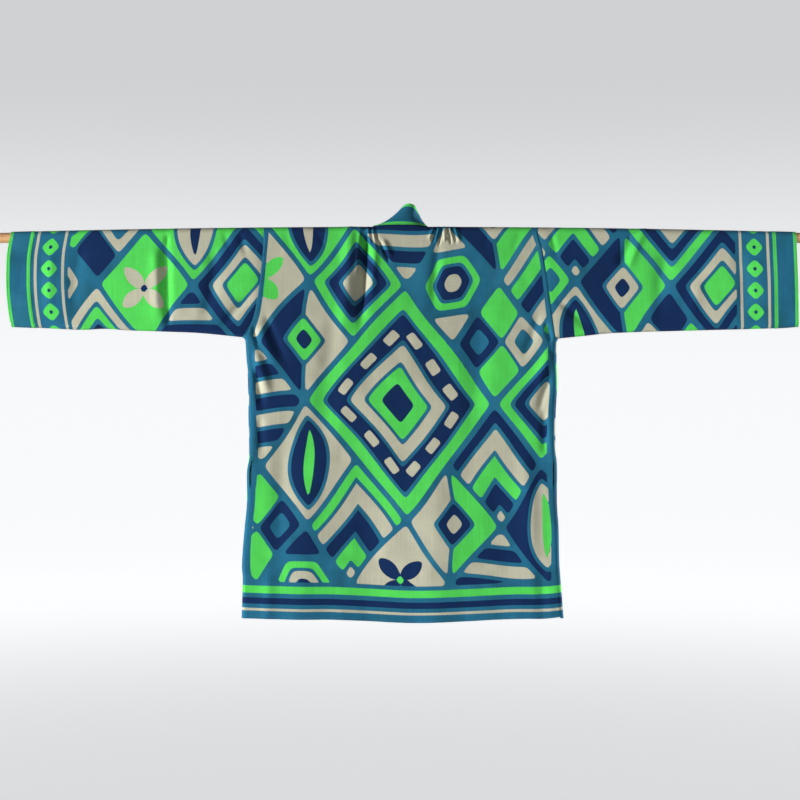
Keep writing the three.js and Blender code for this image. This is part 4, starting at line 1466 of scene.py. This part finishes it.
@dataclass
class BackPanel:
    """The back, from the shoulder ridge and the neck's seam down to the hem.

    Attributes:
        name: The piece's name.
        rod_rows: The rows over the rod.
        side_gap: The clear gap to the front's edge at the side seam.
        side_columns: The columns at each side, beyond the straight ones.
        armhole_end: The height where the lap over the sleeve ends.
    """

    name: str = "back_cloth"
    rod_rows: int = 9
    side_gap: float = 0.2
    side_columns: int = 17
    armhole_end: float = -186

    def sheet(self) -> Sheet:
        """Returns the panel's outer points, in columns that are closest where the folds are sharpest."""
        inset = SIZE.side_seam_in + self.side_gap
        left, right = side_stations(LEFT, inset), side_stations(RIGHT, inset)
        straight = graded(-214, ((-84, 3.7), (-18, 1.1), (46, 2.6), (104, 1.1), (214, 3.7)))
        shares = np.linspace(0, 1, self.side_columns + 1)[:-1] ** 1.5
        points, cloth = [], []

        def columns(left_x: float, right_x: float) -> Array:
            onto_left = lerp(left_x, straight[0], shares)
            onto_right = lerp(right_x, straight[-1], shares)[::-1]
            return np.concatenate([onto_left, straight, onto_right])

        for i in range(self.rod_rows):
            angle = math.pi / 2 * i / self.rod_rows
            x = columns(left[0, 0], right[0, 0])
            top_y, top_z = NECK.back_top(x)
            y = top_y + (SIZE.over_rod - top_y) * math.sin(angle)
            z = rod_z(x) + top_z * math.cos(angle)
            gathered = FORM.on_rod(BACK_CREASES, x, z, i)
            y, z = y + gathered * math.sin(angle), z + gathered * math.cos(angle)
            points.append(np.stack([x, -y, z], axis=-1))
            cloth.append(np.stack([x, (math.pi / 2 - angle) * top_z], axis=-1))
        for (lx, lz), (rx, rz) in zip(left, right):
            opened_l, opened_r = (float(slit_opening(z)) * SIZE.slit_on_back for z in (lz, rz))
            x = columns(lx + opened_l, rx - opened_r)
            share_l, share_r = float(drop_share(lz, lx)), float(drop_share(rz, rx))
            share = lerp(share_l, share_r, (x - x[0]) / (x[-1] - x[0]))
            z = lerp(rod_z(x), HEM_Z(x), share)
            row = FORM.points(Face.BACK, x, z)
            lap = SEWN.beside_armhole(np.minimum(x - lx, rx - x)) * (z > self.armhole_end)
            row[:, 1] -= lap - SEWN.at_hem(x, z)
            points.append(row)
            cloth.append(np.stack([x, z - rod_z(x)], axis=-1))
        return Sheet(np.stack(points), np.stack(cloth))

    def build(self, finishes: Finishes) -> tuple[bpy.types.Object, float]:
        """Returns the panel and its area in square metres."""
        sheet = self.sheet()
        u, v = sheet.cloth[..., 0], sheet.cloth[..., 1]
        above_hem = sheet.points[..., 2] - HEM_Z(sheet.points[..., 0])
        from_side = np.minimum(u - u[:, :1], u[:, -1:] - u)
        inks = body_inks(u, v, above_hem, from_side, True)
        wall = ClothWall(self.name, sheet, inks, SIZE.cloth, finishes.printed, finishes.reverse)
        return wall.build(), sheet.area()


@dataclass
class FrontPanel:
    """One front, which goes round the body's side edge to the side seam on the back.

    Attributes:
        name: The piece's name.
        half: The half of the garment.
        seam_x: Where the neckband's seam runs.
        flat_columns, wrap_columns, rod_rows: The columns on the front and round the edge, and the
            rows over the rod.
        top_angle: Where on the rod's round the front starts, in radians from the top.
        seam_clearance: How far its edge keeps from the side seam's line.
        print_shift: How far its print is shifted from the back's.
    """

    name: str
    half: HalfOutline
    seam_x: float
    flat_columns: int = 60
    wrap_columns: int = 14
    rod_rows: int = 9
    top_angle: float = 0.012
    seam_clearance: float = 0.1
    print_shift: tuple[float, float] = (31, -37)

    def sheet(self) -> Sheet:
        """Returns the panel's outer points, right side out."""
        half, sign = self.half, self.half.sign
        inner_x = self.seam_x + sign * SIZE.seam_gap
        flat = side_stations(half, SIZE.half_depth)
        share_x = np.linspace(0, 1, self.flat_columns + 1)
        nothing = np.full((self.wrap_columns, 3), np.nan)
        no_place = np.full((self.wrap_columns, 2), np.nan)
        seam_angle = math.acos(1 - (SIZE.side_seam_in - self.seam_clearance) / SIZE.half_depth)
        wrap = lerp(math.pi / 2, -seam_angle, np.arange(1, self.wrap_columns + 1) / self.wrap_columns)
        points, cloth = [], []
        for i in range(self.rod_rows):
            angle = lerp(self.top_angle, math.pi / 2, i / self.rod_rows)
            x = lerp(inner_x, flat[0, 0], share_x)
            z = rod_z(x) + SIZE.over_rod * math.cos(angle)
            folds = FORM.on_rod(FRONT_CREASES, x, z, i)
            y = (SIZE.over_rod + folds) * math.sin(angle)
            z = z + folds * math.cos(angle)
            points.append(np.concatenate([np.stack([x, y, z], axis=-1), nothing]))
            place = np.stack([x, np.full_like(x, (math.pi / 2 - angle) * SIZE.over_rod)], axis=-1)
            cloth.append(np.concatenate([place, no_place]))
        corner = int(np.argmin(np.abs(flat[:, 1] - half.mitre(SIZE.half_depth)[1])))
        for r, (side_x, side_z) in enumerate(flat):
            share = float(drop_share(side_z, side_x))
            x = lerp(inner_x, side_x, share_x)
            z = lerp(rod_z(x), HEM_Z(x), share)
            row = FORM.points(Face.FRONT, x, z)
            lap = SEWN.beside_armhole(np.abs(side_x - x)) * (z > half.centre_z)
            row[:, 1] += lap - SEWN.at_hem(x, z)
            place = np.stack([x, z - rod_z(x)], axis=-1)
            if r < corner:
                points.append(np.concatenate([row, nothing]))
                cloth.append(np.concatenate([place, no_place]))
                continue
            inside = SIZE.half_depth * (1 - np.cos(wrap))
            wrap_y = SIZE.half_depth * np.sin(wrap)
            reach = SIZE.underarm_round + inside
            if side_z > half.centre_z - 1e-6:
                turn = SIZE.underarm_mitre * (1 - (r - corner) / FAN_STEPS)
                wrap_x = half.centre_x - sign * reach * math.cos(turn)
                wrap_z = half.centre_z + reach * math.sin(turn)
            else:
                towards = np.maximum(-wrap / seam_angle, 0)
                opened = slit_opening(side_z) * (1 - SIZE.slit_on_back) * towards
                wrap_x = float(half.body_side(side_z)) - sign * (inside - opened)
                wrap_z = np.full_like(wrap_x, side_z)
            around = np.stack([wrap_x, wrap_y, wrap_z], axis=-1)
            points.append(np.concatenate([row, around]))
            beyond = side_x + sign * SIZE.half_depth * (math.pi / 2 - wrap)
            wrap_place = np.stack([beyond, wrap_z - rod_z(wrap_x)], axis=-1)
            cloth.append(np.concatenate([place, wrap_place]))
        grid, places = np.stack(points)[::-1], np.stack(cloth)[::-1]
        if sign < 0:
            grid, places = grid[:, ::-1], places[:, ::-1]
        return Sheet(grid, places)

    def build(self, finishes: Finishes) -> tuple[bpy.types.Object, float]:
        """Returns the panel and its area in square metres."""
        sheet = self.sheet()
        u, v = sheet.cloth[..., 0], sheet.cloth[..., 1]
        above_hem = sheet.points[..., 2] - HEM_Z(sheet.points[..., 0])
        with np.errstate(invalid="ignore"):
            from_side = np.nanmax(np.abs(u)) - SIZE.half_depth - np.abs(u)
            inks = body_inks(u + self.print_shift[0], v + self.print_shift[1], above_hem, from_side, False)
        wall = ClothWall(self.name, sheet, inks, SIZE.cloth, finishes.printed, finishes.reverse)
        return wall.build(), sheet.area()


class Stretch(Enum):
    """The stretches of a sleeve's section, from its lowest point up the back and down the front."""

    BACK_EDGE = 0
    BACK = 1
    ROD = 2
    FRONT = 3
    FRONT_EDGE = 4


@dataclass
class SleeveTube:
    """A run of sleeve: a tube over the rod, between two lines across it.

    Attributes:
        name: The piece's name.
        half: The half of the garment.
        thickness: The wall's thickness.
        is_band: Whether it is the cuff's band or the sleeve itself.
        face_rows, edge_rows, rod_rows: The rows on each face, round the lower edge and over the rod.
        stations, turn_stations, band_stations: The rings along each run.
        band_proud: How far the band stands proud of the sleeve.
        sink, sink_run: How far the sleeve's end lies under the body's lap, and over what run.
    """

    name: str
    half: HalfOutline
    thickness: float
    is_band: bool
    face_rows: int = 44
    edge_rows: int = 14
    rod_rows: int = 16
    stations: int = 104
    turn_stations: int = 14
    band_stations: int = 15
    band_proud: float = 0.45
    sink: float = 0.55
    sink_run: float = 3.4

    MIDDLE_Z = -90.0

    def _section(self) -> tuple[tuple[Stretch, Array], ...]:
        """Returns each stretch of the section with its points' values.

        Returns:
            The values are the angle round the edge or the rod, or how far down the face a point lies.
        """
        turn = math.pi / 2
        quarter = self.edge_rows // 2
        edge = np.arange(quarter + 1)
        face = np.arange(self.face_rows) / self.face_rows
        rod = np.arange(self.rod_rows) / self.rod_rows
        return (
            (Stretch.BACK_EDGE, -turn * edge[:-1] / quarter),
            (Stretch.BACK, 1 - face),
            (Stretch.ROD, lerp(-turn, turn, rod)),
            (Stretch.FRONT, face),
            (Stretch.FRONT_EDGE, turn * (1 - edge / quarter)),
        )

    def _station(self, along: Callable[[Array], Array], turn: float | None) -> tuple[Array, Array]:
        """Returns the section's points at one station, and their places on the flat cloth.

        Args:
            along: Gives x from a height.
            turn: The direction of the station round the underarm fillet, or None on the straight.
        """
        half = self.half
        extra = self.band_proud if self.is_band else 0.0
        depth, over = SIZE.half_depth + extra, SIZE.over_rod + extra
        rod_x, middle = float(along(0.0)), float(along(self.MIDDLE_Z))
        top, low = float(rod_z(middle)), float(half.sleeve_hem(middle)) + SIZE.half_depth
        if turn is not None:
            low = half.centre_z + (SIZE.underarm_round + SIZE.half_depth) * math.sin(turn)
        points, places = [], []
        for stretch, value in self._section():
            if stretch is Stretch.ROD:
                x = np.full_like(value, rod_x)
                y, z = over * np.sin(value), rod_z(rod_x) + over * np.cos(value)
                relief = FORM.relief(Face.BACK, x, z) * (value < 0)
                relief = relief + FORM.relief(Face.FRONT, x, z) * (value > 0)
                y, z = y + relief * np.sin(value), z + relief * np.cos(value)
                run = over * (value + math.pi / 2)
            elif stretch in (Stretch.BACK, Stretch.FRONT):
                face = Face[stretch.name]
                z = lerp(top, low, value)
                x = along(z)
                y = FORM.points(face, x, z)[:, 1] + face.value * extra
                run = (top - low) * value
            else:
                inside = SIZE.half_depth - depth * np.cos(value)
                y = depth * np.sin(value)
                if turn is None:
                    x = along(float(half.sleeve_hem(half.centre_x)) + inside)
                    z = half.sleeve_hem(x) + inside
                else:
                    reach = SIZE.underarm_round + SIZE.half_depth * (1 - np.cos(value))
                    x = half.centre_x - half.sign * reach * math.cos(turn)
                    z = half.centre_z + reach * math.sin(turn)
                run = top - low + depth * (math.pi / 2 - np.abs(value))
            if stretch in (Stretch.BACK_EDGE, Stretch.BACK):
                run = -run
            elif stretch is not Stretch.ROD:
                run = run + over * math.pi
            points.append(np.stack([x, y, z], axis=-1))
            places.append(np.stack([x, run], axis=-1))
        return np.concatenate(points), np.concatenate(places)

    def _lines(self) -> Iterable[tuple[Callable[[Array], Array], float | None]]:
        """Yields the line across the sleeve at each station, and its direction round the underarm."""
        half, sign = self.half, self.half.sign
        if self.is_band:
            for s in np.linspace(0, SIZE.cuff_band, self.band_stations):
                yield lambda z, s=s: half.cuff_edge(z) - sign * s, None
            return
        start = sign * (SIZE.cuff_band + SIZE.seam_gap)
        for s in np.linspace(0, 1, self.stations):
            yield lambda z, s=s: lerp(half.cuff_edge(z) - start, half.centre_x, s), None
        for turn in np.linspace(math.pi / 2, SIZE.underarm_mitre, self.turn_stations)[1:]:
            s = math.cos(turn) / math.cos(SIZE.underarm_mitre)
            end = sign * SIZE.half_seam
            yield lambda z, s=s: lerp(half.centre_x, half.armhole(z) + end, s), float(turn)

    def sheet(self) -> Sheet:
        """Returns the tube's outer points, right side out."""
        rings = [self._station(line, turn) for line, turn in self._lines()]
        grid, places = (np.stack(part) for part in zip(*rings))
        if not self.is_band:
            grid = self._sink_at_armhole(grid)
        if self.half.sign > 0:
            grid, places = grid[::-1], places[::-1]
        return Sheet(grid, places, loops=True)

    def _sink_at_armhole(self, grid: Array) -> Array:
        """Returns the points with the sleeve's end a little under the body's lapped seam."""
        to_seam = np.abs(grid[-1, :, 0][None, :] - grid[..., 0])
        sunk = self.sink * np.exp(-((to_seam / self.sink_run) ** 2))
        grid[..., 1] -= np.sign(grid[..., 1]) * np.minimum(sunk, np.abs(grid[..., 1]))
        return grid

    def build(self, finishes: Finishes) -> tuple[bpy.types.Object, float]:
        """Returns the tube and its area in square metres."""
        sheet = self.sheet()
        from_cuff = np.abs(sheet.points[..., 0] - self.half.cuff_edge(sheet.points[..., 2]))
        if self.is_band:
            inks = band_inks(np.clip(from_cuff, 0, SIZE.cuff_band), SIZE.cuff_band)
        else:
            inks = sleeve_inks(sheet.cloth[..., 0], sheet.cloth[..., 1], from_cuff - SIZE.cuff_band)
        wall = ClothWall(self.name, sheet, inks, self.thickness, finishes.printed, finishes.reverse)
        return wall.build(), sheet.area()


@dataclass
class Neckband:
    """The doubled band down both fronts and round the back of the neck.

    Attributes:
        name: The piece's name.
        columns, neck_steps, front_rows: Its columns, and its rows to a neck table's row and down a front.
        proud: How far it stands proud of the fronts.
        crown: How much doubled cloth swells between its edges.
        straightens, settles: The shares of a front over which it comes in line and comes down on it.
    """

    name: str = "neckband_cloth"
    columns: int = 14
    neck_steps: int = 8
    front_rows: int = 190
    proud: float = 0.5
    crown: float = 0.55
    straightens: float = 0.15
    settles: float = 0.05

    def sheet(self) -> Sheet:
        """Returns the band's outer points, right side out."""
        rows = len(NECK.seam_x)
        step = np.linspace(0, rows - 1, (rows - 1) * self.neck_steps + 1)
        share = np.linspace(0, 1, self.columns + 1)[None, :]
        ends = ([NECK.column(f"{line}_{axis}", step)[:, None] for axis in "xyz"] for line in ("seam", "edge"))
        neck = np.stack([lerp(seam, edge, share) for seam, edge in zip(*ends)], axis=-1)
        left = self._front(neck[0], SIZE.neck_left, 1)[::-1]
        right = self._front(neck[-1], SIZE.neck_right, -1)
        grid = self._crowned(np.concatenate([left, neck, right]))
        steps = np.linalg.norm(np.diff(grid[:, self.columns // 2], axis=0), axis=-1)
        run = np.concatenate([[0], np.cumsum(steps)])
        across = np.broadcast_to(share * SIZE.neckband, grid.shape[:2])
        places = np.stack([across, np.broadcast_to(run[:, None], grid.shape[:2])], axis=-1)
        return Sheet(grid, places)

    def _front(self, start: Array, seam_x: float, towards: int) -> Array:
        """Returns the rows of one front below the neck."""
        straight = seam_x + towards * SIZE.neckband * np.linspace(0, 1, self.columns + 1)
        rows = []
        for i in range(1, self.front_rows + 1):
            share = i / self.front_rows
            x = lerp(start[:, 0], straight, smooth(share / self.straightens))
            z = lerp(start[:, 2], HEM_Z(x), share)
            row = FORM.points(Face.FRONT, x, z)
            row[:, 1] = lerp(start[:, 1], row[:, 1] + self.proud, smooth(share / self.settles))
            rows.append(row)
        return np.stack(rows)

    def _crowned(self, grid: Array) -> Array:
        """Returns the points with a slight crown across the band, as in doubled cloth."""
        normal = Sheet(grid, grid[..., :2]).normals()
        share = np.linspace(-1, 1, self.columns + 1)[None, :, None]
        return grid + normal * (self.crown * (1 - share**4))

    def build(self, finishes: Finishes) -> tuple[bpy.types.Object, float]:
        """Returns the band and its area in square metres."""
        sheet = self.sheet()
        inks = band_inks(sheet.cloth[..., 0], SIZE.neckband)
        wall = ClothWall(self.name, sheet, inks, SIZE.band_cloth, finishes.printed, finishes.printed)
        return wall.build(), sheet.area()


@dataclass
class Rod:
    """The wooden rod, with softly broken edges at its ends."""

    name: str = "rod_wood"
    sides: int = 40
    steps: int = 60
    chamfer: float = 0.8
    first_ring: float = 8

    def build(self, finishes: Finishes) -> bpy.types.Object:
        """Returns the rod."""
        half = SIZE.rod_length / 2
        run = half - self.first_ring
        end = np.array([half - self.chamfer, half])
        xs = np.concatenate([-end[::-1], np.linspace(-run, run, self.steps), end])
        radii = np.full(len(xs), float(SIZE.rod_radius))
        radii[[0, -1]] -= self.chamfer
        angles = np.arange(self.sides) * 2 * math.pi / self.sides
        ring = np.stack([np.cos(angles), np.sin(angles)], axis=-1)
        vertices = []
        for x, radius in zip(xs, radii):
            for c, s in ring:
                vertices.append((x * MM, radius * c * MM, (float(rod_z(x)) + radius * s) * MM))
        faces = []
        for i in range(len(xs) - 1):
            for k in range(self.sides):
                n = (k + 1) % self.sides
                at = i * self.sides
                faces.append((at + k, at + n, at + self.sides + n, at + self.sides + k))
        last = (len(xs) - 1) * self.sides
        faces.append(tuple(range(self.sides))[::-1])
        faces.append(tuple(last + k for k in range(self.sides)))
        mesh = bpy.data.meshes.new(self.name)
        mesh.from_pydata(vertices, [], faces)
        mesh.polygons.foreach_set("use_smooth", [len(p.vertices) == 4 for p in mesh.polygons])
        mesh.materials.append(finishes.wood)
        mesh.update()
        piece = bpy.data.objects.new(self.name, mesh)
        bpy.context.scene.collection.objects.link(piece)
        return piece


@dataclass
class Stitching:
    """Rows of machine stitches that follow paths on the cloth, made by Geometry Nodes.

    Attributes:
        name: The piece's name.
        paths: The paths, each an array of points in millimetres.
        pitch: From one stitch to the next, in metres.
        length: The length of a stitch.
        radius: The thread's radius.
        least, most: The range of the stitches' sizes.
        seed: The seed of those sizes.
    """

    name: str
    paths: Sequence[Array]
    pitch: float = 0.0032
    length: float = 0.0024
    radius: float = 0.00024
    least: float = 0.86
    most: float = 1.1
    seed: int = 5

    def build(self, finishes: Finishes) -> bpy.types.Object:
        """Returns the stitches as one mesh."""
        vertices, edges = [], []
        for path in self.paths:
            start = len(vertices)
            vertices.extend((path * MM).tolist())
            edges.extend((start + i, start + i + 1) for i in range(len(path) - 1))
        mesh = bpy.data.meshes.new(self.name)
        mesh.from_pydata(vertices, edges, [])
        piece = bpy.data.objects.new(self.name, mesh)
        bpy.context.scene.collection.objects.link(piece)
        tree = self._tree()
        modifier = piece.modifiers.new("stitches", "NODES")
        modifier.node_group = tree
        values = {"Pitch": self.pitch, "Length": self.length, "Radius": self.radius}
        values["Thread"] = finishes.thread
        for item in tree.interface.items_tree:
            if item.item_type == "SOCKET" and item.in_out == "INPUT" and item.name in values:
                modifier[item.identifier] = values[item.name]
        graph = bpy.context.evaluated_depsgraph_get()
        done = bpy.data.meshes.new_from_object(piece.evaluated_get(graph))
        piece.modifiers.remove(modifier)
        piece.data = done
        return piece

    def _tree(self) -> bpy.types.NodeTree:
        """Returns the node tree: a short, round-ended stitch set along each path."""
        tree = bpy.data.node_groups.new(f"{self.name}_tree", "GeometryNodeTree")
        given_kinds = {"Geometry": "Geometry", "Pitch": "Float", "Length": "Float", "Radius": "Float"}
        for name, kind in {**given_kinds, "Thread": "Material"}.items():
            tree.interface.new_socket(name, in_out="INPUT", socket_type=f"NodeSocket{kind}")
        tree.interface.new_socket("Geometry", in_out="OUTPUT", socket_type="NodeSocketGeometry")
        nodes, links = tree.nodes, tree.links
        given = nodes.new("NodeGroupInput")
        result = nodes.new("NodeGroupOutput")
        curve = nodes.new("GeometryNodeMeshToCurve")
        spaced = nodes.new("GeometryNodeResampleCurve")
        spaced.mode = "LENGTH"
        tangent = nodes.new("GeometryNodeInputTangent")
        align = nodes.new("FunctionNodeAlignRotationToVector")
        align.axis = "Z"
        stitch = nodes.new("GeometryNodeMeshCylinder")
        stitch.inputs["Vertices"].default_value = 6
        stitch.inputs["Side Segments"].default_value = 1
        jitter = nodes.new("FunctionNodeRandomValue")
        jitter.data_type = "FLOAT"
        jitter.inputs[2].default_value, jitter.inputs[3].default_value = self.least, self.most
        jitter.inputs["Seed"].default_value = self.seed
        place = nodes.new("GeometryNodeInstanceOnPoints")
        real = nodes.new("GeometryNodeRealizeInstances")
        dress = nodes.new("GeometryNodeSetMaterial")
        for source, target in (
            (given.outputs["Geometry"], curve.inputs[0]),
            (curve.outputs[0], spaced.inputs["Curve"]),
            (given.outputs["Pitch"], spaced.inputs["Length"]),
            (tangent.outputs[0], align.inputs["Vector"]),
            (given.outputs["Length"], stitch.inputs["Depth"]),
            (given.outputs["Radius"], stitch.inputs["Radius"]),
            (spaced.outputs[0], place.inputs["Points"]),
            (stitch.outputs["Mesh"], place.inputs["Instance"]),
            (align.outputs[0], place.inputs["Rotation"]),
            (jitter.outputs[1], place.inputs["Scale"]),
            (place.outputs[0], real.inputs[0]),
            (real.outputs[0], dress.inputs["Geometry"]),
            (given.outputs["Thread"], dress.inputs["Material"]),
            (dress.outputs[0], result.inputs[0]),
        ):
            links.new(source, target)
        return tree


def hem_paths(ends: tuple[float, float] = (-268, 270), clear: float = 4, sunk: float = 0.2) -> list[Array]:
    """Returns the paths of the hem's stitching on the back and both fronts.

    Args:
        ends: Where the paths end at the sides.
        clear: How far they keep from the neckband's seams.
        sunk: How deep the stitches lie in the cloth.
    """
    runs = (
        (Face.BACK, *ends),
        (Face.FRONT, SIZE.neck_left - clear, ends[0]),
        (Face.FRONT, SIZE.neck_right + clear, ends[1]),
    )
    paths = []
    for face, start, end in runs:
        x = np.linspace(start, end, 160)
        path = FORM.points(face, x, HEM_Z(x) + SIZE.hem_stitch)
        path[:, 1] -= face.value * sunk
        paths.append(path)
    return paths


def band_paths(sheet: Sheet, insets: Sequence[float], lift: float = 0.1) -> list[Array]:
    """Returns paths along a band.

    Args:
        sheet: The band's sheet, whose columns run across it or, on a tube, round it.
        insets: How far across the band each path lies, as a share of its width.
        lift: How far the thread stands off the cloth.
    """
    lines = sheet.points + sheet.normals() * lift
    if not sheet.loops:
        lines = np.swapaxes(lines, 0, 1)
    paths = []
    for inset in insets:
        at = inset * (len(lines) - 1)
        low = int(at)
        paths.append(lerp(lines[low], lines[min(low + 1, len(lines) - 1)], at - low))
    return paths


@dataclass(frozen=True)
class Lamp:
    """A soft rectangular light that no camera sees.

    Attributes:
        name: Its name.
        place: Its middle.
        aim: The point that it faces.
        size: Its width and height.
        power: Its power in watts.
        spread: How wide its beam opens, in degrees.
    """

    name: str
    place: tuple[float, float, float]
    aim: tuple[float, float, float]
    size: tuple[float, float]
    power: float
    spread: float = 180

    def build(self, kept_off: bpy.types.Collection) -> None:
        """Makes the light and keeps it off the floor."""
        data = bpy.data.lights.new(self.name, "AREA")
        data.shape = "RECTANGLE"
        data.size, data.size_y = self.size
        data.energy = self.power
        data.spread = math.radians(self.spread)
        light = bpy.data.objects.new(self.name, data)
        light.location = self.place
        light.rotation_euler = (Vector(self.aim) - light.location).to_track_quat("-Z", "Y").to_euler()
        light.visible_camera = False
        light.light_linking.receiver_collection = kept_off
        bpy.context.scene.collection.objects.link(light)


LAMPS = (
    Lamp("left_key", (-10.5, -4.2, -1.6), (0, 0, -0.4), (2.4, 2.4), 1950),
    Lamp("right_fill", (3.6, -6.4, -0.9), (0, 0, -0.4), (2.2, 2.2), 44),
    Lamp("low_front", (0, -1.3, -1.25), (0, 0, -0.588), (2.8, 0.4), 1.5, 44),
    Lamp("left_sleeve_fill", (-1.3, -2, -0.2), (-0.64, 0, -0.1), (0.5, 0.3), 0.3, 28),
    Lamp("right_sleeve_fill", (1.3, -2, -0.2), (0.64, 0, -0.1), (0.5, 0.3), 0.3, 28),
    Lamp("far_key", (10.2, 3.9, -0.9), (0, 0, -0.4), (2.4, 2.4), 1900),
    Lamp("far_fill", (-4, 6.5, 0.3), (0, 0, -0.4), (2.2, 2.2), 80),
)


@dataclass(frozen=True)
class Studio:
    """The floor, the light and the camera.

    Attributes:
        pixels: The width of the frame, in the photograph's pixels.
        pixel: What one pixel spans at the garment, in metres.
        lens: The camera's focal length, in millimetres.
        aim_x, aim_z: The point that the camera looks at.
        floor_z: The floor's height.
        flat, bend, top: How far the floor runs flat, the radius of its sweep up and its top's height.
        sides, bend_steps: How many sides the floor has, and how many steps its sweep.
        world_light, world_seen: The pale surroundings' strength as light, and as the camera sees it.
    """

    pixels: int = 800
    pixel: float = 0.001757
    lens: float = 85.0
    aim_x: float = -0.0035
    aim_z: float = -0.2952
    floor_z: float = -1.06
    flat: float = 5.0
    bend: float = 3.0
    top: float = 9.0
    sides: int = 96
    bend_steps: int = 24
    world_light: float = 0.065
    world_seen: float = 0.8

    def camera(self) -> None:
        """Makes the camera square on to the garment's back, as far off as the frame's width asks."""
        data = bpy.data.cameras.new("camera")
        data.lens = self.lens
        camera = bpy.data.objects.new("camera", data)
        bpy.context.scene.collection.objects.link(camera)
        distance = self.pixels * self.pixel * self.lens / data.sensor_width
        camera.location = (self.aim_x, -distance - SIZE.half_depth * MM, self.aim_z)
        camera.rotation_euler = (math.pi / 2, 0, 0)
        bpy.context.scene.camera = camera

    def floor(self, finishes: Finishes) -> bpy.types.Object:
        """Makes a round pale floor that sweeps up far off on every side, and returns it."""
        profile = [(2.0, self.floor_z), (self.flat, self.floor_z)]
        for angle in np.linspace(0, math.pi / 2, self.bend_steps + 1)[1:]:
            rise = self.bend * (1 - math.cos(angle))
            profile.append((self.flat + self.bend * math.sin(angle), self.floor_z + rise))
        profile.append((self.flat + self.bend, self.top))
        turns = np.arange(self.sides) * 2 * math.pi / self.sides
        vertices = [(0.0, 0.0, self.floor_z)]
        vertices += [(r * math.cos(t), r * math.sin(t), z) for r, z in profile for t in turns]
        sides = [(k, (k + 1) % self.sides) for k in range(self.sides)]
        faces = [(0, 1 + a, 1 + b) for a, b in sides]
        for i in range(len(profile) - 1):
            low = 1 + i * self.sides
            high = low + self.sides
            faces += [(low + a, high + a, high + b, low + b) for a, b in sides]
        mesh = bpy.data.meshes.new("floor")
        mesh.from_pydata(vertices, [], faces)
        mesh.polygons.foreach_set("use_smooth", [True] * len(faces))
        mesh.materials.append(finishes.paper)
        floor = bpy.data.objects.new("floor", mesh)
        # The floor's glow is painted light: the camera sees it, but it lights and shades nothing.
        floor.visible_diffuse = floor.visible_shadow = False
        bpy.context.scene.collection.objects.link(floor)
        return floor

    def lights(self, floor: bpy.types.Object) -> None:
        """Makes soft light on both faces, on the back mostly from the left, and none on the floor."""
        kept_off = bpy.data.collections.new("kept_off")
        kept_off.objects.link(floor)
        kept_off.collection_objects[0].light_linking.link_state = "EXCLUDE"
        world = bpy.data.worlds.new("studio")
        world.use_nodes = True
        tree = world.node_tree
        background = tree.nodes["Background"]
        background.inputs["Color"].default_value = (0.98, 0.99, 1.0, 1.0)
        seen = tree.nodes.new("ShaderNodeLightPath").outputs["Is Camera Ray"]
        strength = tree.nodes.new("ShaderNodeMapRange")
        strength.inputs["To Min"].default_value = self.world_light
        strength.inputs["To Max"].default_value = self.world_seen
        tree.links.new(seen, strength.inputs["Value"])
        tree.links.new(strength.outputs[0], background.inputs["Strength"])
        bpy.context.scene.world = world
        for lamp in LAMPS:
            lamp.build(kept_off)


def settle(piece: bpy.types.Object, slot: str, *nodes: str) -> None:
    """Puts a piece on the one body and hides the solids that it stands for."""
    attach(piece, "root")
    if nodes:
        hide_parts(*nodes)


def main() -> None:
    """Builds the garment, its stitching, the rod and the studio."""
    logging.basicConfig(level=logging.INFO, format="%(message)s")
    bpy.context.scene.view_settings.view_transform = "Standard"
    finishes = Finishes()
    studio = Studio()
    studio.camera()
    studio.lights(studio.floor(finishes))

    rod = Rod().build(finishes)
    settle(rod, "wood", "rod")
    LOG.info("rod done")

    back, area = BackPanel().build(finishes)
    settle(back, "printed_cloth", "back")
    LOG.info("back done, %.4f m2", area)

    for side, half, seam_x in (("left", LEFT, SIZE.neck_left), ("right", RIGHT, SIZE.neck_right)):
        front, area = FrontPanel(f"front_{side}_cloth", half, seam_x).build(finishes)
        settle(front, "printed_cloth", f"front_{side}")
        LOG.info("front %s done, %.4f m2", side, area)
        sleeve, area = SleeveTube(f"sleeve_{side}_cloth", half, SIZE.cloth, False).build(finishes)
        settle(sleeve, "printed_cloth", f"sleeve_{side}")
        LOG.info("sleeve %s done, %.4f m2", side, area)
        cuff = SleeveTube(f"cuff_band_{side}_cloth", half, SIZE.band_cloth, True)
        band, area = cuff.build(finishes)
        settle(band, "band_cloth", f"cuff_band_{side}")
        stitches = Stitching(f"cuff_stitches_{side}", band_paths(cuff.sheet(), (0.05, 0.95))).build(finishes)
        settle(stitches, "band_cloth")
        LOG.info("cuff band %s done, %.4f m2", side, area)

    neck = Neckband()
    band, area = neck.build(finishes)
    settle(band, "band_cloth", "neckband")
    stitches = Stitching("neckband_stitches", band_paths(neck.sheet(), (0.045, 0.955))).build(finishes)
    settle(stitches, "band_cloth")
    hem = Stitching("hem_stitches", hem_paths()).build(finishes)
    settle(hem, "printed_cloth")
    LOG.info("neckband and stitching done, %.4f m2", area)


if __name__ == "__main__":
    main()
